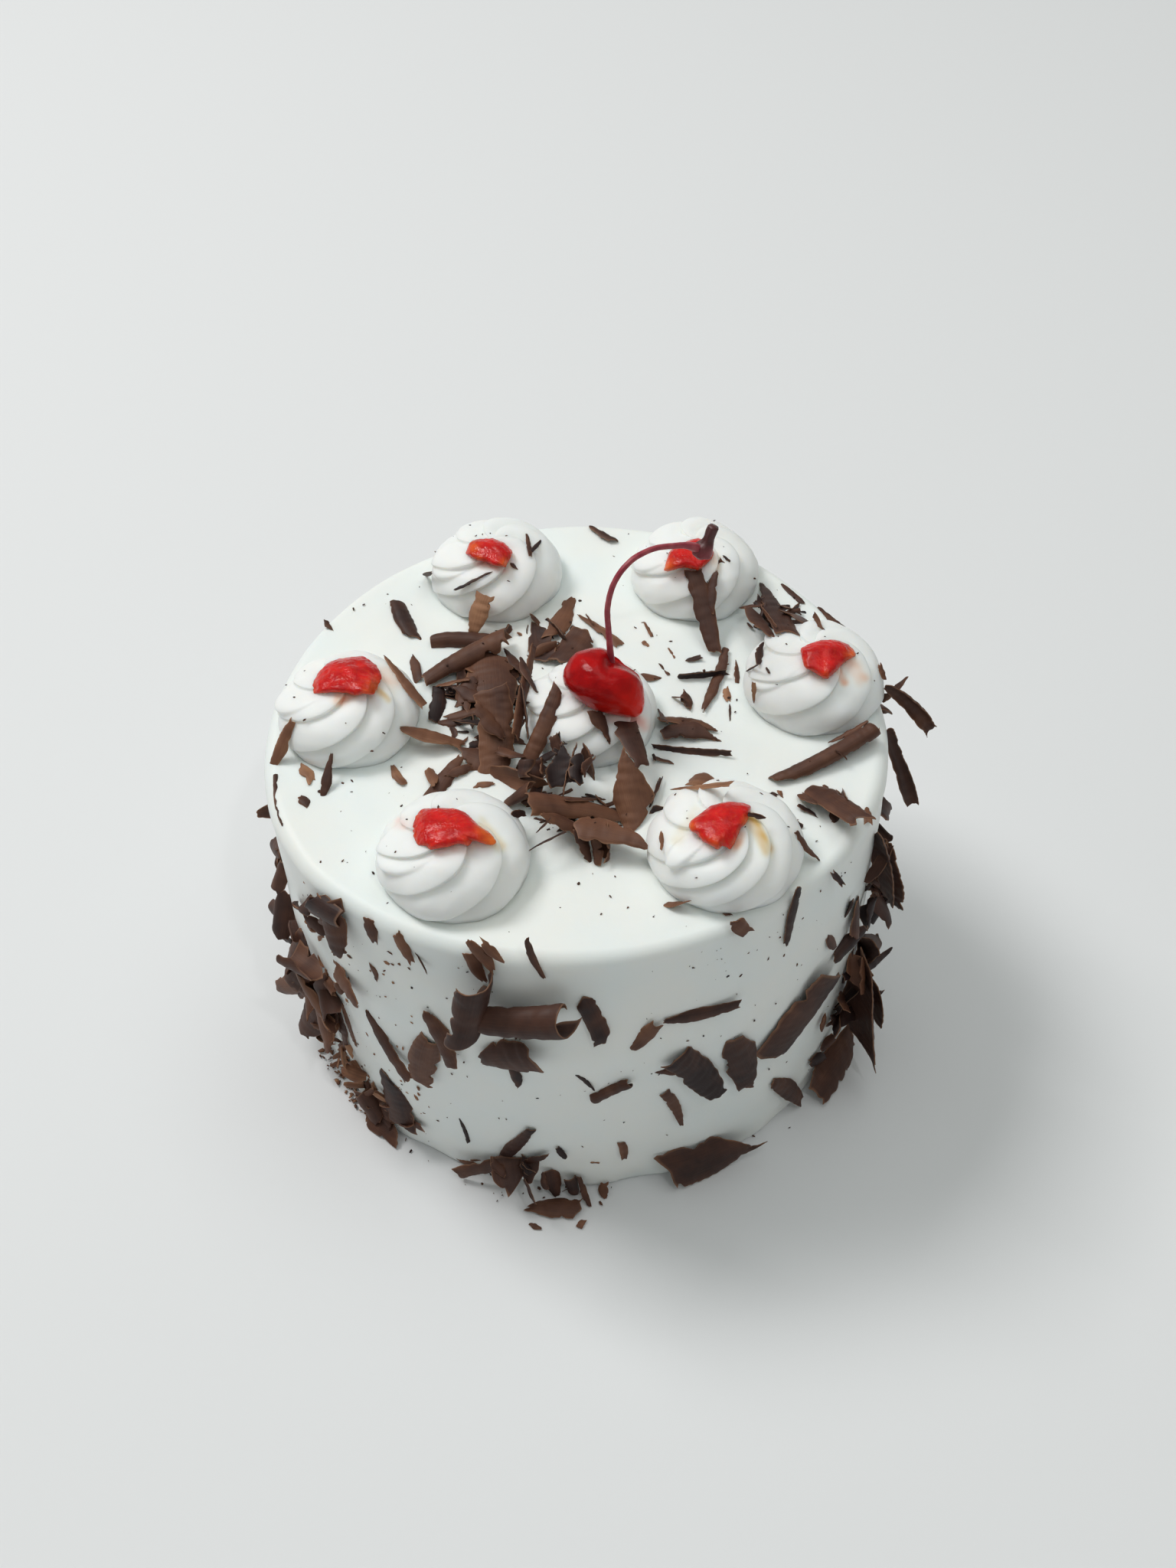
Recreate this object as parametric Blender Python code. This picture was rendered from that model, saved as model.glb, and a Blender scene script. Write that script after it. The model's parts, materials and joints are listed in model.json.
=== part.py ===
"""A round cake coated in whipped cream, 180 mm across and 107.5 mm high.

Six piped rosettes with a piece of glace cherry stand round the rim, and a seventh in the middle
holds a whole cherry with its stem. Curls and flakes of chocolate lie on the top and stick to the
side. The origin is the centre of the flat base, +Z is up and -Y is the front.
"""

import math
import random

import bmesh
import bpy
import numpy as np
from mathutils import Matrix, Vector

# Driving dimensions, in metres
MM = 0.001
CAKE_RADIUS = 0.090
CAKE_HEIGHT = 0.1075
RIM_ROUND = 0.0055
FOOT_ROUND = 0.0012
CAKE_SIDES = 48
CLEARANCE = 0.0003
SOCKET_CLEARANCE = 0.0005
PILE_CLEARANCE = 0.0005
CHIP_THICKNESS = 0.0011
TIGHT_ROLL = 150
SUNK = 0.0009

# Piped swirls: folds round each rosette, their twist from foot to crown, and the fold's section
FOLDS = 6
TWIST = math.radians(155)
FOLD_STEPS = (0.0, 0.2, 0.48, 0.78, 0.92)
CREST_AT = 0.78
ROSETTE_ROWS = 8
FOLD_DEPTH = 0.0034
FOOT_LIFT = 0.0036

# Rosettes: centre x and y, radius, height in mm, and turn in degrees
ROSETTES = {
    "front_left": (-32.0, -51.5, 21.5, 17.5, 20),
    "front_right": (39.5, -51.5, 21.5, 17.5, 5),
    "right": (70.5, 10.5, 21.0, 17.0, 40),
    "back_right": (39.0, 59.5, 20.5, 17.0, 15),
    "back_left": (-22.5, 63.0, 21.0, 17.0, 50),
    "left": (-65.0, 4.5, 21.0, 17.0, 30),
    "centre": (5.0, 0.5, 19.5, 15.0, 0),
}

# Pieces of cherry: centre x, y and height over the top in mm, width, depth and height in mm,
# turn in degrees, and the knife cuts as direction in degrees and share of the radius kept
CHERRY_PIECES = {
    "front_left": (-33.5, -50.5, 15.0, 18.0, 14.0, 12.0, -8, ((255, 0.72), (330, 0.86))),
    "front_right": (38.0, -53.0, 15.0, 18.0, 14.5, 12.0, 12, ((228, 0.66), (318, 0.70))),
    "right": (74.0, 8.0, 15.0, 16.5, 14.5, 12.0, 5, ((240, 0.74), (300, 0.78))),
    "back_right": (37.5, 55.5, 15.0, 17.0, 13.0, 12.0, 10, ((262, 0.70), (90, 0.90))),
    "back_left": (-24.5, 59.5, 15.0, 14.5, 12.5, 11.0, 0, ((275, 0.74), (190, 0.88))),
    "left": (-65.0, 7.0, 14.5, 19.0, 14.0, 12.0, 4, ((268, 0.62), (352, 0.90))),
}
CHERRY_SIDES = 14
CHERRY_RINGS = 8

# The whole cherry: centre and half sizes in mm, turn of its long axis in degrees, and stem route
CHERRY_CENTRE = (8.7, -2.0, 18.2)
CHERRY_HALF = (11.6, 10.2, 10.0)
CHERRY_TURN = -24
CHERRY_COLUMNS = 20
CHERRY_BANDS = 11
STEM_ROUTE = (
    (10.9, 2.6, 26.6), (11.9, 4.0, 39.0), (15.2, 5.4, 49.5),
    (22.6, 11.0, 54.2), (32.4, 18.6, 50.4), (39.0, 21.5, 45.4),
)
STEM_THICK = (1.6, 1.15, 1.05, 1.05, 1.2, 1.9)
STEM_POINTS = 22

# The pile of curls round the middle rosette: centre x and y, direction in degrees, length, width
# of the flat strip, how far it is rolled in degrees, lift of its middle and pitch in degrees
PILE = (
    (-25.5, -1.0, 92, 36.0, 11.0, 70, 1.3, 4),
    (-25.0, 17.0, 20, 15.0, 14.0, 60, 2.4, 8),
    (-31.5, 25.5, 35, 31.0, 17.0, 250, 0.0, 3),
    (-14.5, 14.5, 76, 30.0, 4.6, 60, 1.3, 12),
    (-9.5, 31.0, 54, 15.0, 8.0, 100, 2.4, 14),
    (-2.5, 40.5, 64, 14.0, 8.5, 160, 0.6, 4),
    (1.0, 29.5, 48, 16.0, 9.5, 80, 0.3, 10),
    (9.5, 34.0, -45, 13.0, 4.6, 80, 0.4, 0),
    (-17.0, 24.0, -58, 13.0, 6.0, 70, 2.6, 6),
    (-18.5, -20.5, 12, 14.0, 8.0, 100, 1.4, 8),
    (-12.5, -19.5, 84, 8.0, 15.0, 300, 0.6, 58),
    (-6.5, -23.0, 10, 9.0, 14.0, 60, 2.0, 4),
    (-2.5, -22.0, 78, 17.0, 3.6, 40, 1.6, 22),
    (3.5, -23.0, 82, 11.0, 5.0, 60, 1.6, 26),
    (0.0, -33.5, -23, 31.0, 14.0, 210, 0.6, 2),
    (15.5, -28.5, -84, 27.0, 10.0, 90, 1.0, 8),
    (9.5, -42.0, -27, 20.0, 9.0, 50, 0.2, 2),
    (3.5, -45.5, -74, 13.0, 8.5, 200, 0.2, 0),
    (-35.5, -17.5, 60, 20.0, 5.0, 60, 0.2, 5),
    (-34.0, 35.0, 6, 18.0, 10.0, 230, 0.2, 0),
    (-36.0, 17.5, 15, 15.0, 4.0, 40, 1.0, 4),
    (-33.0, 2.5, 12, 12.0, 5.0, 50, 1.4, 6),
    (-39.0, -6.5, -26, 17.0, 8.0, 90, 0.2, 4),
    (-15.5, -7.0, 68, 24.0, 4.4, 50, 1.3, 12),
)
# Low pads of broken chocolate that carry the pile: centre x, y and radius in mm
PADS = (
    (-33, 25, 8.5), (-25, 12, 9.0), (-25, -3, 8.5), (-21, -17, 7.5), (-12, -25, 6.5), (1, -32, 8.0),
    (12, -37, 7.5), (3, -42, 5.0), (-14, 26, 8.5), (-2, 32.5, 8.0), (7, 33, 5.0), (-33, -12, 5.5),
    (-35, 3, 5.5), (-34, 34, 5.0), (-17, 8, 5.0), (-21, 20, 7.0),
)
PAD_THICKNESS = 0.0017

# Single curls on the top: centre x and y, direction, length, width, roll, lift and pitch
TOP_CURLS = {
    "top_curl_left_a": (-53.0, 24.5, -58, 13.0, 5.0, 110, 0, 0),
    "top_curl_right_a": (34.5, -5.0, -9, 17.0, 11.0, 130, 0, 2),
    "top_curl_right_b": (70.5, -20.5, 31, 32.0, 12.0, 250, 0, 1),
    "top_curl_right_c": (70.5, -36.5, -43, 16.0, 10.0, 70, 0, 4),
    "top_leaf_back_right": (41.0, 35.0, 101, 24.0, 8.5, 60, 0, 35),
    "top_curl_back_left": (-52.0, 42.5, -70, 14.0, 8.0, 120, 0, 2),
}
# Small pile near the rim, back right, laid out as the middle pile
RIM_PILE = (
    (57.5, 41.0, 112, 15.0, 8.0, 60, 0.3, 6),
    (62.0, 39.5, 70, 16.0, 8.5, 80, 0.6, 10),
    (69.0, 41.5, 20, 11.0, 9.0, 60, 0.4, 6),
)
RIM_PADS = ((61, 40, 5.5), (67, 41, 4.5))

# Curls on the side: start angle and height, end angle and height, width, roll, how far the far
# end stands off in mm, and how far the lower edge leans out in degrees. Angles are degrees from
# the front, positive to the right
SIDE_CURLS = {
    "side_curl_01": (-17.0, 105.0, -21.5, 84.0, 13.0, 180, 1, 0),
    "side_curl_02": (-15.0, 90.5, -3.0, 95.5, 20.0, 170, 0, 0),
    "side_curl_03": (-17.8, 66.5, -8.5, 78.0, 9.0, 70, 1, 0),
    "side_curl_04": (15.5, 70.0, 21.5, 46.0, 8.0, 80, 1, 0),
    "side_curl_05": (27.0, 61.5, 29.5, 39.0, 10.0, 70, 1, 0),
    "side_curl_06": (35.5, 45.0, 48.5, 63.0, 13.0, 80, 1, 0),
    "side_curl_07": (14.0, 8.0, 33.0, 9.0, 14.0, 60, 0, 28),
    "side_curl_08": (-30.0, 70.5, -32.0, 44.5, 11.0, 80, 1, 0),
    "side_curl_09": (-43.8, 60.0, -36.0, 41.5, 7.0, 90, 1, 0),
    "side_curl_10": (-47.5, 106.5, -44.5, 87.0, 11.0, 80, 1, 0),
    "side_curl_11": (-51.0, 71.5, -43.5, 69.0, 11.0, 90, 1, 0),
    "side_curl_12": (-39.5, 31.5, -35.5, 13.0, 10.0, 60, 2, 0),
    "side_curl_13": (64.5, 86.0, 65.0, 48.0, 10.0, 80, 2, 0),
    "side_curl_14": (73.5, 82.0, 71.0, 48.0, 10.0, 90, 9, 0),
    "side_curl_15": (59.5, 42.0, 61.0, 22.0, 14.0, 90, 6, 0),
    "side_curl_16": (46.5, 8.5, 64.0, 8.5, 17.0, 70, 0, 42),
    "side_curl_17": (-65.5, 61.0, -67.5, 38.0, 13.0, 90, 8, 0),
    "side_curl_18": (-63.0, 32.0, -65.0, 14.0, 14.0, 90, 6, 0),
    "side_curl_19": (-78.0, 75.0, -85.0, 67.0, 9.0, 120, 3, 0),
    "side_curl_20": (97.0, 103.0, 96.0, 88.0, 6.0, 110, 19, 0),
    "side_curl_21": (87.0, 101.0, 86.5, 74.0, 6.0, 90, 12, 0),
    "foot_curl_01": (-48.5, 4.5, -39.5, 4.0, 9.0, 50, 0, 62),
    "foot_curl_02": (-22.5, 10.0, -10.5, 15.0, 6.0, 60, 0, 0),
    "foot_curl_03": (-9.5, 2.2, -1.5, 2.2, 9.0, 50, 0, 66),
    "foot_curl_04": (-20.5, 3.6, -12.5, 3.0, 8.0, 50, 0, 50),
}
# The side away from the front carries like curls, spaced by a rule
BACK_CURLS = 7
BACK_FROM, BACK_TO = 108.0, 250.0

# Small flakes that show, fused to the cream: the same columns as SIDE_CURLS
SIDE_FLAKES = (
    (0.5, 96.0, 3.0, 80.0, 5.0, 60, 1, 0),
    (12.6, 80.0, 8.4, 71.0, 5.5, 60, 1, 0),
    (14.0, 80.5, 27.5, 79.0, 3.8, 40, 1, 0),
    (14.4, 46.0, 17.7, 28.5, 4.0, 50, 1, 0),
    (41.0, 102.0, 38.5, 90.0, 3.8, 50, 1, 0),
    (37.4, 21.0, 43.0, 6.0, 5.0, 50, 1, 0),
    (1.0, 50.0, 7.5, 58.0, 4.0, 80, 1, 0),
    (-24.5, 76.0, -22.0, 62.0, 6.0, 90, 2, 0),
    (-52.0, 51.0, -50.0, 32.0, 3.4, 60, 1, 0),
    (-57.0, 50.0, -56.5, 30.0, 4.0, 60, 1, 0),
    (-34.0, 102.0, -31.0, 94.0, 4.6, 60, 1, 0),
    (-39.5, 103.0, -38.0, 95.0, 4.2, 60, 1, 0),
    (-10.4, 36.0, -13.5, 23.0, 4.0, 60, 1, 0),
    (-24.0, 101.0, -22.0, 92.0, 5.0, 60, 1, 0),
    (-29.0, 25.0, -31.0, 17.0, 5.0, 60, 1, 0),
    (-31.0, 5.0, -24.5, 3.5, 7.0, 60, 2, 30),
    (-57.0, 7.0, -52.0, 6.5, 12.0, 60, 2, 30),
    (50.0, 76.0, 52.5, 70.0, 5.0, 60, 1, 0),
)
# Small flakes on the top: centre x and y, direction, length and width
TOP_FLAKES = (
    (-50.0, -20.5, -62, 8.0, 3.6),
    (-3.0, -60.0, 20, 6.0, 3.0),
    (31.5, -26.0, 8, 12.0, 5.0),
    (34.0, -15.0, -8, 20.0, 2.6),
    (32.5, 5.0, 30, 7.0, 5.0),
    (44.0, 9.5, 80, 14.0, 3.4),
    (34.0, 17.5, 0, 11.0, 2.6),
    (23.0, 33.0, 76, 8.0, 3.0),
    (51.5, 23.0, 100, 8.0, 3.0),
    (13.0, 46.0, 30, 6.0, 3.6),
    (66.5, -46.5, -52, 9.0, 3.6),
    (-76.0, -27.5, 60, 9.0, 5.0),
    (-75.5, 33.0, 80, 8.0, 5.0),
    (-58.0, 56.0, 50, 9.0, 4.6),
    (9.0, 76.0, -50, 12.0, 5.0),
    (69.5, 50.0, -40, 12.0, 5.0),
    (5.0, -74.0, 60, 5.0, 3.0),
    (13.0, 60.0, 95, 7.0, 3.6),
)
RANDOM_SEED = 7
GOLDEN = 0.618


def clear_scene():
    """Takes every object out of the scene that the script was started in."""
    for thing in list(bpy.data.objects):
        bpy.data.objects.remove(thing, do_unlink=True)


def finish_of(name, colour, roughness):
    """A plain Principled material."""
    made = bpy.data.materials.new(name)
    made.use_nodes = True
    shader = made.node_tree.nodes["Principled BSDF"]
    shader.inputs["Base Color"].default_value = (*colour, 1.0)
    shader.inputs["Roughness"].default_value = roughness
    shader.inputs["Metallic"].default_value = 0.0
    made.diffuse_color = (*colour, 1.0)
    return made


def add_object(name, bm, material):
    """Turns a bmesh into a named, smooth shaded object with its normals out."""
    bmesh.ops.recalc_face_normals(bm, faces=bm.faces)
    mesh = bpy.data.meshes.new(name)
    bm.to_mesh(mesh)
    bm.free()
    mesh.materials.append(material)
    mesh.shade_smooth()
    mesh.set_sharp_from_angle(angle=math.radians(40))
    made = bpy.data.objects.new(name, mesh)
    bpy.context.scene.collection.objects.link(made)
    return made


def keep_largest_body(target):
    """Drops the scraps that a cut leaves, and keeps the body with the most vertices."""
    bm = bmesh.new()
    bm.from_mesh(target.data)
    unseen = set(bm.verts)
    bodies = []
    while unseen:
        body = {unseen.pop()}
        edge_of_body = list(body)
        while edge_of_body:
            for edge in edge_of_body.pop().link_edges:
                for vert in edge.verts:
                    if vert in unseen:
                        unseen.remove(vert)
                        body.add(vert)
                        edge_of_body.append(vert)
        bodies.append(body)
    largest = max(bodies, key=len)
    bmesh.ops.delete(bm, geom=[v for v in bm.verts if v not in largest], context="VERTS")
    bm.to_mesh(target.data)
    bm.free()


def apply_boolean(target, others, operation, solver="EXACT"):
    """Joins or cuts target with the other objects in one step, then removes them."""
    group = bpy.data.collections.new(target.name + "_operands")
    bpy.context.scene.collection.children.link(group)
    for other in others:
        bpy.context.scene.collection.objects.unlink(other)
        group.objects.link(other)
    step = target.modifiers.new("fuse", "BOOLEAN")
    step.operation = operation
    step.solver = solver
    step.operand_type = "COLLECTION"
    step.collection = group
    view = bpy.context.evaluated_depsgraph_get()
    made = bpy.data.meshes.new_from_object(target.evaluated_get(view))
    target.modifiers.clear()
    target.data = made
    for other in others:
        bpy.data.objects.remove(other, do_unlink=True)
    bpy.data.collections.remove(group)
    keep_largest_body(target)


def skin(bm, grid, close_round):
    """Adds the quads of a grid of bmesh verts. close_round joins each row's end to its start."""
    columns = len(grid[0])
    for low, high in zip(grid, grid[1:]):
        for i in range(columns if close_round else columns - 1):
            j = (i + 1) % columns
            bm.faces.new((low[i], low[j], high[j], high[i]))


def cream_drum(material):
    """The cake: a profile with a soft rim, spun round the axis."""
    arc = [math.radians(a) for a in (0, 30, 60, 90)]
    core = CAKE_RADIUS - RIM_ROUND
    profile = [(0, 0), (CAKE_RADIUS - FOOT_ROUND, 0), (CAKE_RADIUS, FOOT_ROUND)]
    profile += [(core + RIM_ROUND * math.cos(a), CAKE_HEIGHT - RIM_ROUND * (1 - math.sin(a))) for a in arc]
    profile += [(0, CAKE_HEIGHT)]
    bm = bmesh.new()
    verts = [bm.verts.new((radius, 0, height)) for radius, height in profile]
    edges = [bm.edges.new(pair) for pair in zip(verts, verts[1:])]
    bmesh.ops.spin(bm, geom=verts + edges, cent=(0, 0, 0), axis=(0, 0, 1), angle=math.tau, steps=CAKE_SIDES)
    bmesh.ops.remove_doubles(bm, verts=bm.verts, dist=1e-6)
    return add_object("cake", bm, material)


def fold_height(share):
    """Height of a fold's section, 0 in the groove and 1 on the crest: a slow rise, then a drop."""
    if share <= CREST_AT:
        return math.sin(math.pi / 2 * share / CREST_AT) ** 0.8
    return math.cos(math.pi / 2 * (share - CREST_AT) / (1 - CREST_AT))


def swirl(name, spec, material, fold_depth=FOLD_DEPTH, grow=0.0):
    """A piped rosette: a dome whose folds wind outward clockwise. A cutter is swollen by grow and
    has no folds, so it reaches over every crest."""
    x, y, radius, height, turn = spec
    radius, height = radius * MM, height * MM
    bm = bmesh.new()
    grid = []
    for row in range(ROSETTE_ROWS):
        t = row / ROSETTE_ROWS
        lean = math.radians(-22 + 112 * t)
        out = radius * max(math.cos(lean), 0) ** 0.85
        up = FOOT_LIFT + (height - FOOT_LIFT) * math.sin(max(lean, 0)) ** 1.05
        if lean < 0:
            up = FOOT_LIFT * (1 + lean / math.radians(22))
        depth = fold_depth * (0.55 + 0.45 * math.sin(math.pi * t)) * min(1, out / (0.35 * radius))
        ring = []
        for fold in range(FOLDS):
            for share in FOLD_STEPS:
                angle = (fold + share) / FOLDS * math.tau + TWIST * t + math.radians(turn)
                sink = depth * (1 - fold_height(share))
                r = max(out - sink * math.cos(max(lean, 0)) * 0.8, 0.0004) + grow
                z = max(up - sink * math.sin(max(lean, 0)), 0) + (grow if row else -grow)
                east, north = x * MM + r * math.cos(angle), y * MM + r * math.sin(angle)
                ring.append(bm.verts.new((east, north, CAKE_HEIGHT + CLEARANCE + z)))
        grid.append(ring)
    skin(bm, grid, True)
    bm.faces.new(list(reversed(grid[0])))
    crown = bm.verts.new((x * MM, y * MM, CAKE_HEIGHT + CLEARANCE + height + grow))
    last = grid[-1]
    for i, vert in enumerate(last):
        bm.faces.new((vert, last[(i + 1) % len(last)], crown))
    return add_object(name, bm, material)


def cherry_piece(name, spec, material, grow=0.0):
    """A piece of glace cherry: a squat ball with a flat underside and knife cuts on its sides."""
    x, y, lift, width, depth, height, turn, cuts = spec
    half = Vector((width / 2, depth / 2, height / 2)) * MM + Vector((grow, grow, grow))
    bm = bmesh.new()
    bmesh.ops.create_uvsphere(bm, u_segments=CHERRY_SIDES, v_segments=CHERRY_RINGS, radius=1)
    planes = [(Vector((0, 0, -1)), 0.55)]
    for direction, share in cuts:
        a = math.radians(direction)
        planes.append((Vector((math.cos(a), math.sin(a), -0.25)).normalized(), share))
    for normal, share in planes:
        whole = bm.verts[:] + bm.edges[:] + bm.faces[:]
        point = normal * share
        cut = bmesh.ops.bisect_plane(bm, geom=whole, plane_co=point, plane_no=normal, clear_outer=True)
        rim = [e for e in cut["geom_cut"] if isinstance(e, bmesh.types.BMEdge)]
        bmesh.ops.edgenet_fill(bm, edges=rim)
    place = Matrix.Translation((x * MM, y * MM, CAKE_HEIGHT + lift * MM))
    place = place @ Matrix.Rotation(math.radians(turn), 4, "Z") @ Matrix.Diagonal((*half, 1))
    bm.transform(place)
    return add_object(name, bm, material)


def whole_cherry(name, material, grow=0.0):
    """The cherry: a ball drawn out along its long axis, with a dimple for the stem and a crease."""
    half = Vector(CHERRY_HALF) * MM + Vector((grow, grow, grow))
    dimple = Vector((0.12, 0.38, 0.92)).normalized()
    bm = bmesh.new()
    bmesh.ops.create_uvsphere(bm, u_segments=CHERRY_COLUMNS, v_segments=CHERRY_BANDS, radius=1)
    for vert in bm.verts:
        place = vert.co.copy()
        near = max(0.0, 1 - (place - dimple).length / 0.62)
        crease = max(0.0, 1 - abs(place.y - 0.30) / 0.22) * max(0.0, place.z) * max(0.0, place.x)
        bulge = 1 - 0.20 * near**1.5 - 0.10 * crease + 0.05 * place.x * max(0.0, -place.z)
        vert.co = place * bulge
    place = Matrix.Translation(Vector(CHERRY_CENTRE) * MM + Vector((0, 0, CAKE_HEIGHT)))
    place = place @ Matrix.Rotation(math.radians(CHERRY_TURN), 4, "Z") @ Matrix.Diagonal((*half, 1))
    bm.transform(place)
    return add_object(name, bm, material)


def smooth_route(points, count):
    """Catmull-Rom curve through the points, read at evenly spaced shares of its spans."""
    known = np.array([points[0], *points, points[-1]], float)
    shares = np.linspace(0, len(points) - 1, count)
    span = np.minimum(shares.astype(int), len(points) - 2)
    u = (shares - span)[:, None]
    a, b, c, d = (known[span + k] for k in range(4))
    slope, bend, twist = c - a, 2 * a - 5 * b + 4 * c - d, 3 * b - a - 3 * c + d
    return 0.5 * (2 * b + slope * u + bend * u**2 + twist * u**3)


def stem(name, material):
    """The stem: a round stalk that thickens at the fruit and at the knob where it left the twig."""
    route = smooth_route(STEM_ROUTE, STEM_POINTS)
    thick = np.interp(np.linspace(0, 1, STEM_POINTS), np.linspace(0, 1, len(STEM_THICK)), STEM_THICK)
    curve = bpy.data.curves.new(name, "CURVE")
    curve.dimensions = "3D"
    curve.bevel_depth = MM
    curve.bevel_resolution = 2
    curve.use_fill_caps = True
    spline = curve.splines.new("POLY")
    spline.points.add(STEM_POINTS - 1)
    for point, place, radius in zip(spline.points, route, thick):
        point.co = (place[0] * MM, place[1] * MM, CAKE_HEIGHT + place[2] * MM, 1)
        point.radius = radius
    curve.materials.append(material)
    made = bpy.data.objects.new(name, curve)
    bpy.context.scene.collection.objects.link(made)
    return made


def curl_sheet(length, width, roll, rng, rows, columns):
    """Middle surface of a shaving: an arc in section, narrower and lifted at its ragged ends."""
    along, across = np.meshgrid(np.linspace(-0.5, 0.5, rows), np.linspace(-0.5, 0.5, columns), indexing="ij")
    turn = math.radians(max(roll, 20))
    narrow = 1 - 0.32 * (2 * np.abs(along)) ** 2
    radius = width / turn
    x = along * length
    for end in (0, -1):
        x[end] += np.array([rng.uniform(-0.05, 0.05) * length for _ in range(columns)])
    y = radius * np.sin(turn * across) * narrow
    z = radius * (1 - np.cos(turn * across)) * narrow + 0.03 * length * (2 * along) ** 2
    return np.stack([x, y, z], -1)


def thick_sheet(points):
    """Lowers and raises a sheet by half the chocolate's thickness along its own normals."""
    along = np.gradient(points, axis=0)
    across = np.gradient(points, axis=1)
    normal = np.cross(along, across)
    normal /= np.linalg.norm(normal, axis=-1, keepdims=True)
    return points - normal * CHIP_THICKNESS / 2, points + normal * CHIP_THICKNESS / 2


def chip(name, spec, frame, settle, material, rng, rows=3, columns=5):
    """A shaving of chocolate as a closed solid. frame stands it in place, settle beds it down."""
    length, width, roll = spec
    low, high = thick_sheet(curl_sheet(length * MM, width * MM, roll, rng, rows, columns))
    turned, origin = frame
    low, high = settle(low @ turned + origin, high @ turned + origin)
    bm = bmesh.new()
    under = [[bm.verts.new(p) for p in row] for row in low]
    over = [[bm.verts.new(p) for p in row] for row in high]
    skin(bm, under, False)
    skin(bm, over, False)
    ring_under = edge_ring(under)
    ring_over = edge_ring(over)
    skin(bm, [ring_under, ring_over], True)
    bmesh.ops.triangulate(bm, faces=bm.faces)
    return add_object(name, bm, material)


def edge_ring(grid):
    """The verts round the border of a grid, in order."""
    right = [row[-1] for row in grid[1:]]
    left = [row[0] for row in grid[1:-1]]
    return grid[0] + right + list(reversed(grid[-1][:-1])) + list(reversed(left))


def top_frame(x, y, direction, pitch, lift):
    """Axes and origin of a shaving on the top, its length along the direction, rising by pitch."""
    a, p = math.radians(direction), math.radians(pitch)
    along = np.array([math.cos(a) * math.cos(p), math.sin(a) * math.cos(p), math.sin(p)])
    side = np.array([-math.sin(a), math.cos(a), 0.0])
    up = np.cross(along, side)
    return np.array([along, side, up]), np.array([x * MM, y * MM, CAKE_HEIGHT + lift * MM])


def settle_on_top(space, lift=0.0):
    """Lowers or raises a shaving until its lowest point is this far over the top."""

    def settle(low, high):
        drop = min(low[..., 2].min(), high[..., 2].min()) - (CAKE_HEIGHT + space + lift)
        shift = np.array([0.0, 0.0, -drop])
        return low + shift, high + shift

    return settle


def side_frame(a0, z0, a1, z1, stand, lean):
    """Axes and origin of a shaving on the side, from one angle and height to another, its lower
    edge leaning out from the wall."""
    reach = CAKE_RADIUS + 0.002

    def at(angle, height, out):
        a = math.radians(angle)
        return np.array([(reach + out) * math.sin(a), -(reach + out) * math.cos(a), height * MM])

    start, end = at(a0, z0, 0.0), at(a1, z1, stand * MM)
    along = end - start
    length = np.linalg.norm(along)
    along /= length
    middle = math.radians((a0 + a1) / 2)
    outward = np.array([math.sin(middle), -math.cos(middle), 0.0])
    outward -= along * (outward @ along)
    outward /= np.linalg.norm(outward)
    side = np.cross(outward, along)
    tilt = math.radians(-lean if side[2] > 0 else lean)
    c, s = math.cos(tilt), math.sin(tilt)
    axes = np.array([along, side * c + outward * s, outward * c - side * s])
    return (axes, (start + end) / 2), length / MM


def settle_on_side(middle, space):
    """Moves a shaving straight in or out until it is this far from the cream, and over the foot."""
    a = math.radians(middle)
    outward = np.array([math.sin(a), -math.cos(a), 0.0])

    def settle(low, high):
        for _ in range(6):
            both = np.concatenate([low.reshape(-1, 3), high.reshape(-1, 3)])
            near = np.hypot(both[:, 0], both[:, 1]).min()
            shift = outward * (CAKE_RADIUS + space - near)
            low, high = low + shift, high + shift
        under = min(low[..., 2].min(), high[..., 2].min())
        rise = np.array([0.0, 0.0, max(0.0, 0.0004 - under)])
        return low + rise, high + rise

    return settle


def side_chip(name, spec, space, material, rng, rows=3, columns=5):
    """One shaving on the side."""
    a0, z0, a1, z1, width, roll, stand, lean = spec
    frame, length = side_frame(a0, z0, a1, z1, stand, lean)
    settle = settle_on_side((a0 + a1) / 2, space)
    return chip(name, (length, width, roll), frame, settle, material, rng, rows, columns)


def top_chip(name, spec, space, material, rng, rows=3, columns=5):
    """One shaving on the top."""
    x, y, direction, length, width, roll, lift, pitch = spec
    frame = top_frame(x, y, direction, pitch, lift)
    settle = settle_on_top(space, lift * MM)
    return chip(name, (length, width, roll), frame, settle, material, rng, rows, columns)


def pad(name, spec, material):
    """A low round pad of broken chocolate under a pile."""
    x, y, radius = spec
    bm = bmesh.new()
    bmesh.ops.create_cone(
        bm, cap_ends=True, segments=8, radius1=radius * MM, radius2=0.8 * radius * MM, depth=PAD_THICKNESS
    )
    bm.transform(Matrix.Translation((x * MM, y * MM, CAKE_HEIGHT + CLEARANCE + PAD_THICKNESS / 2)))
    return add_object(name, bm, material)


def pile(name, curls, pads, cutters, material, rng):
    """A pile of shavings fused into one solid, then cut clear of the swirls beside it."""
    whole = pad(name, pads[0], material)
    parts = [pad(f"{name}_pad_{i}", spec, material) for i, spec in enumerate(pads[1:])]
    for i, spec in enumerate(curls):
        columns = 5 if spec[5] > TIGHT_ROLL else 3
        parts.append(top_chip(f"{name}_{i}", spec, CLEARANCE, material, rng, rows=3, columns=columns))
    apply_boolean(whole, parts, "UNION", "MANIFOLD")
    if cutters:
        apply_boolean(whole, cutters, "DIFFERENCE", "MANIFOLD")
    whole.data.materials.clear()
    whole.data.materials.append(material)
    return whole


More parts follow.
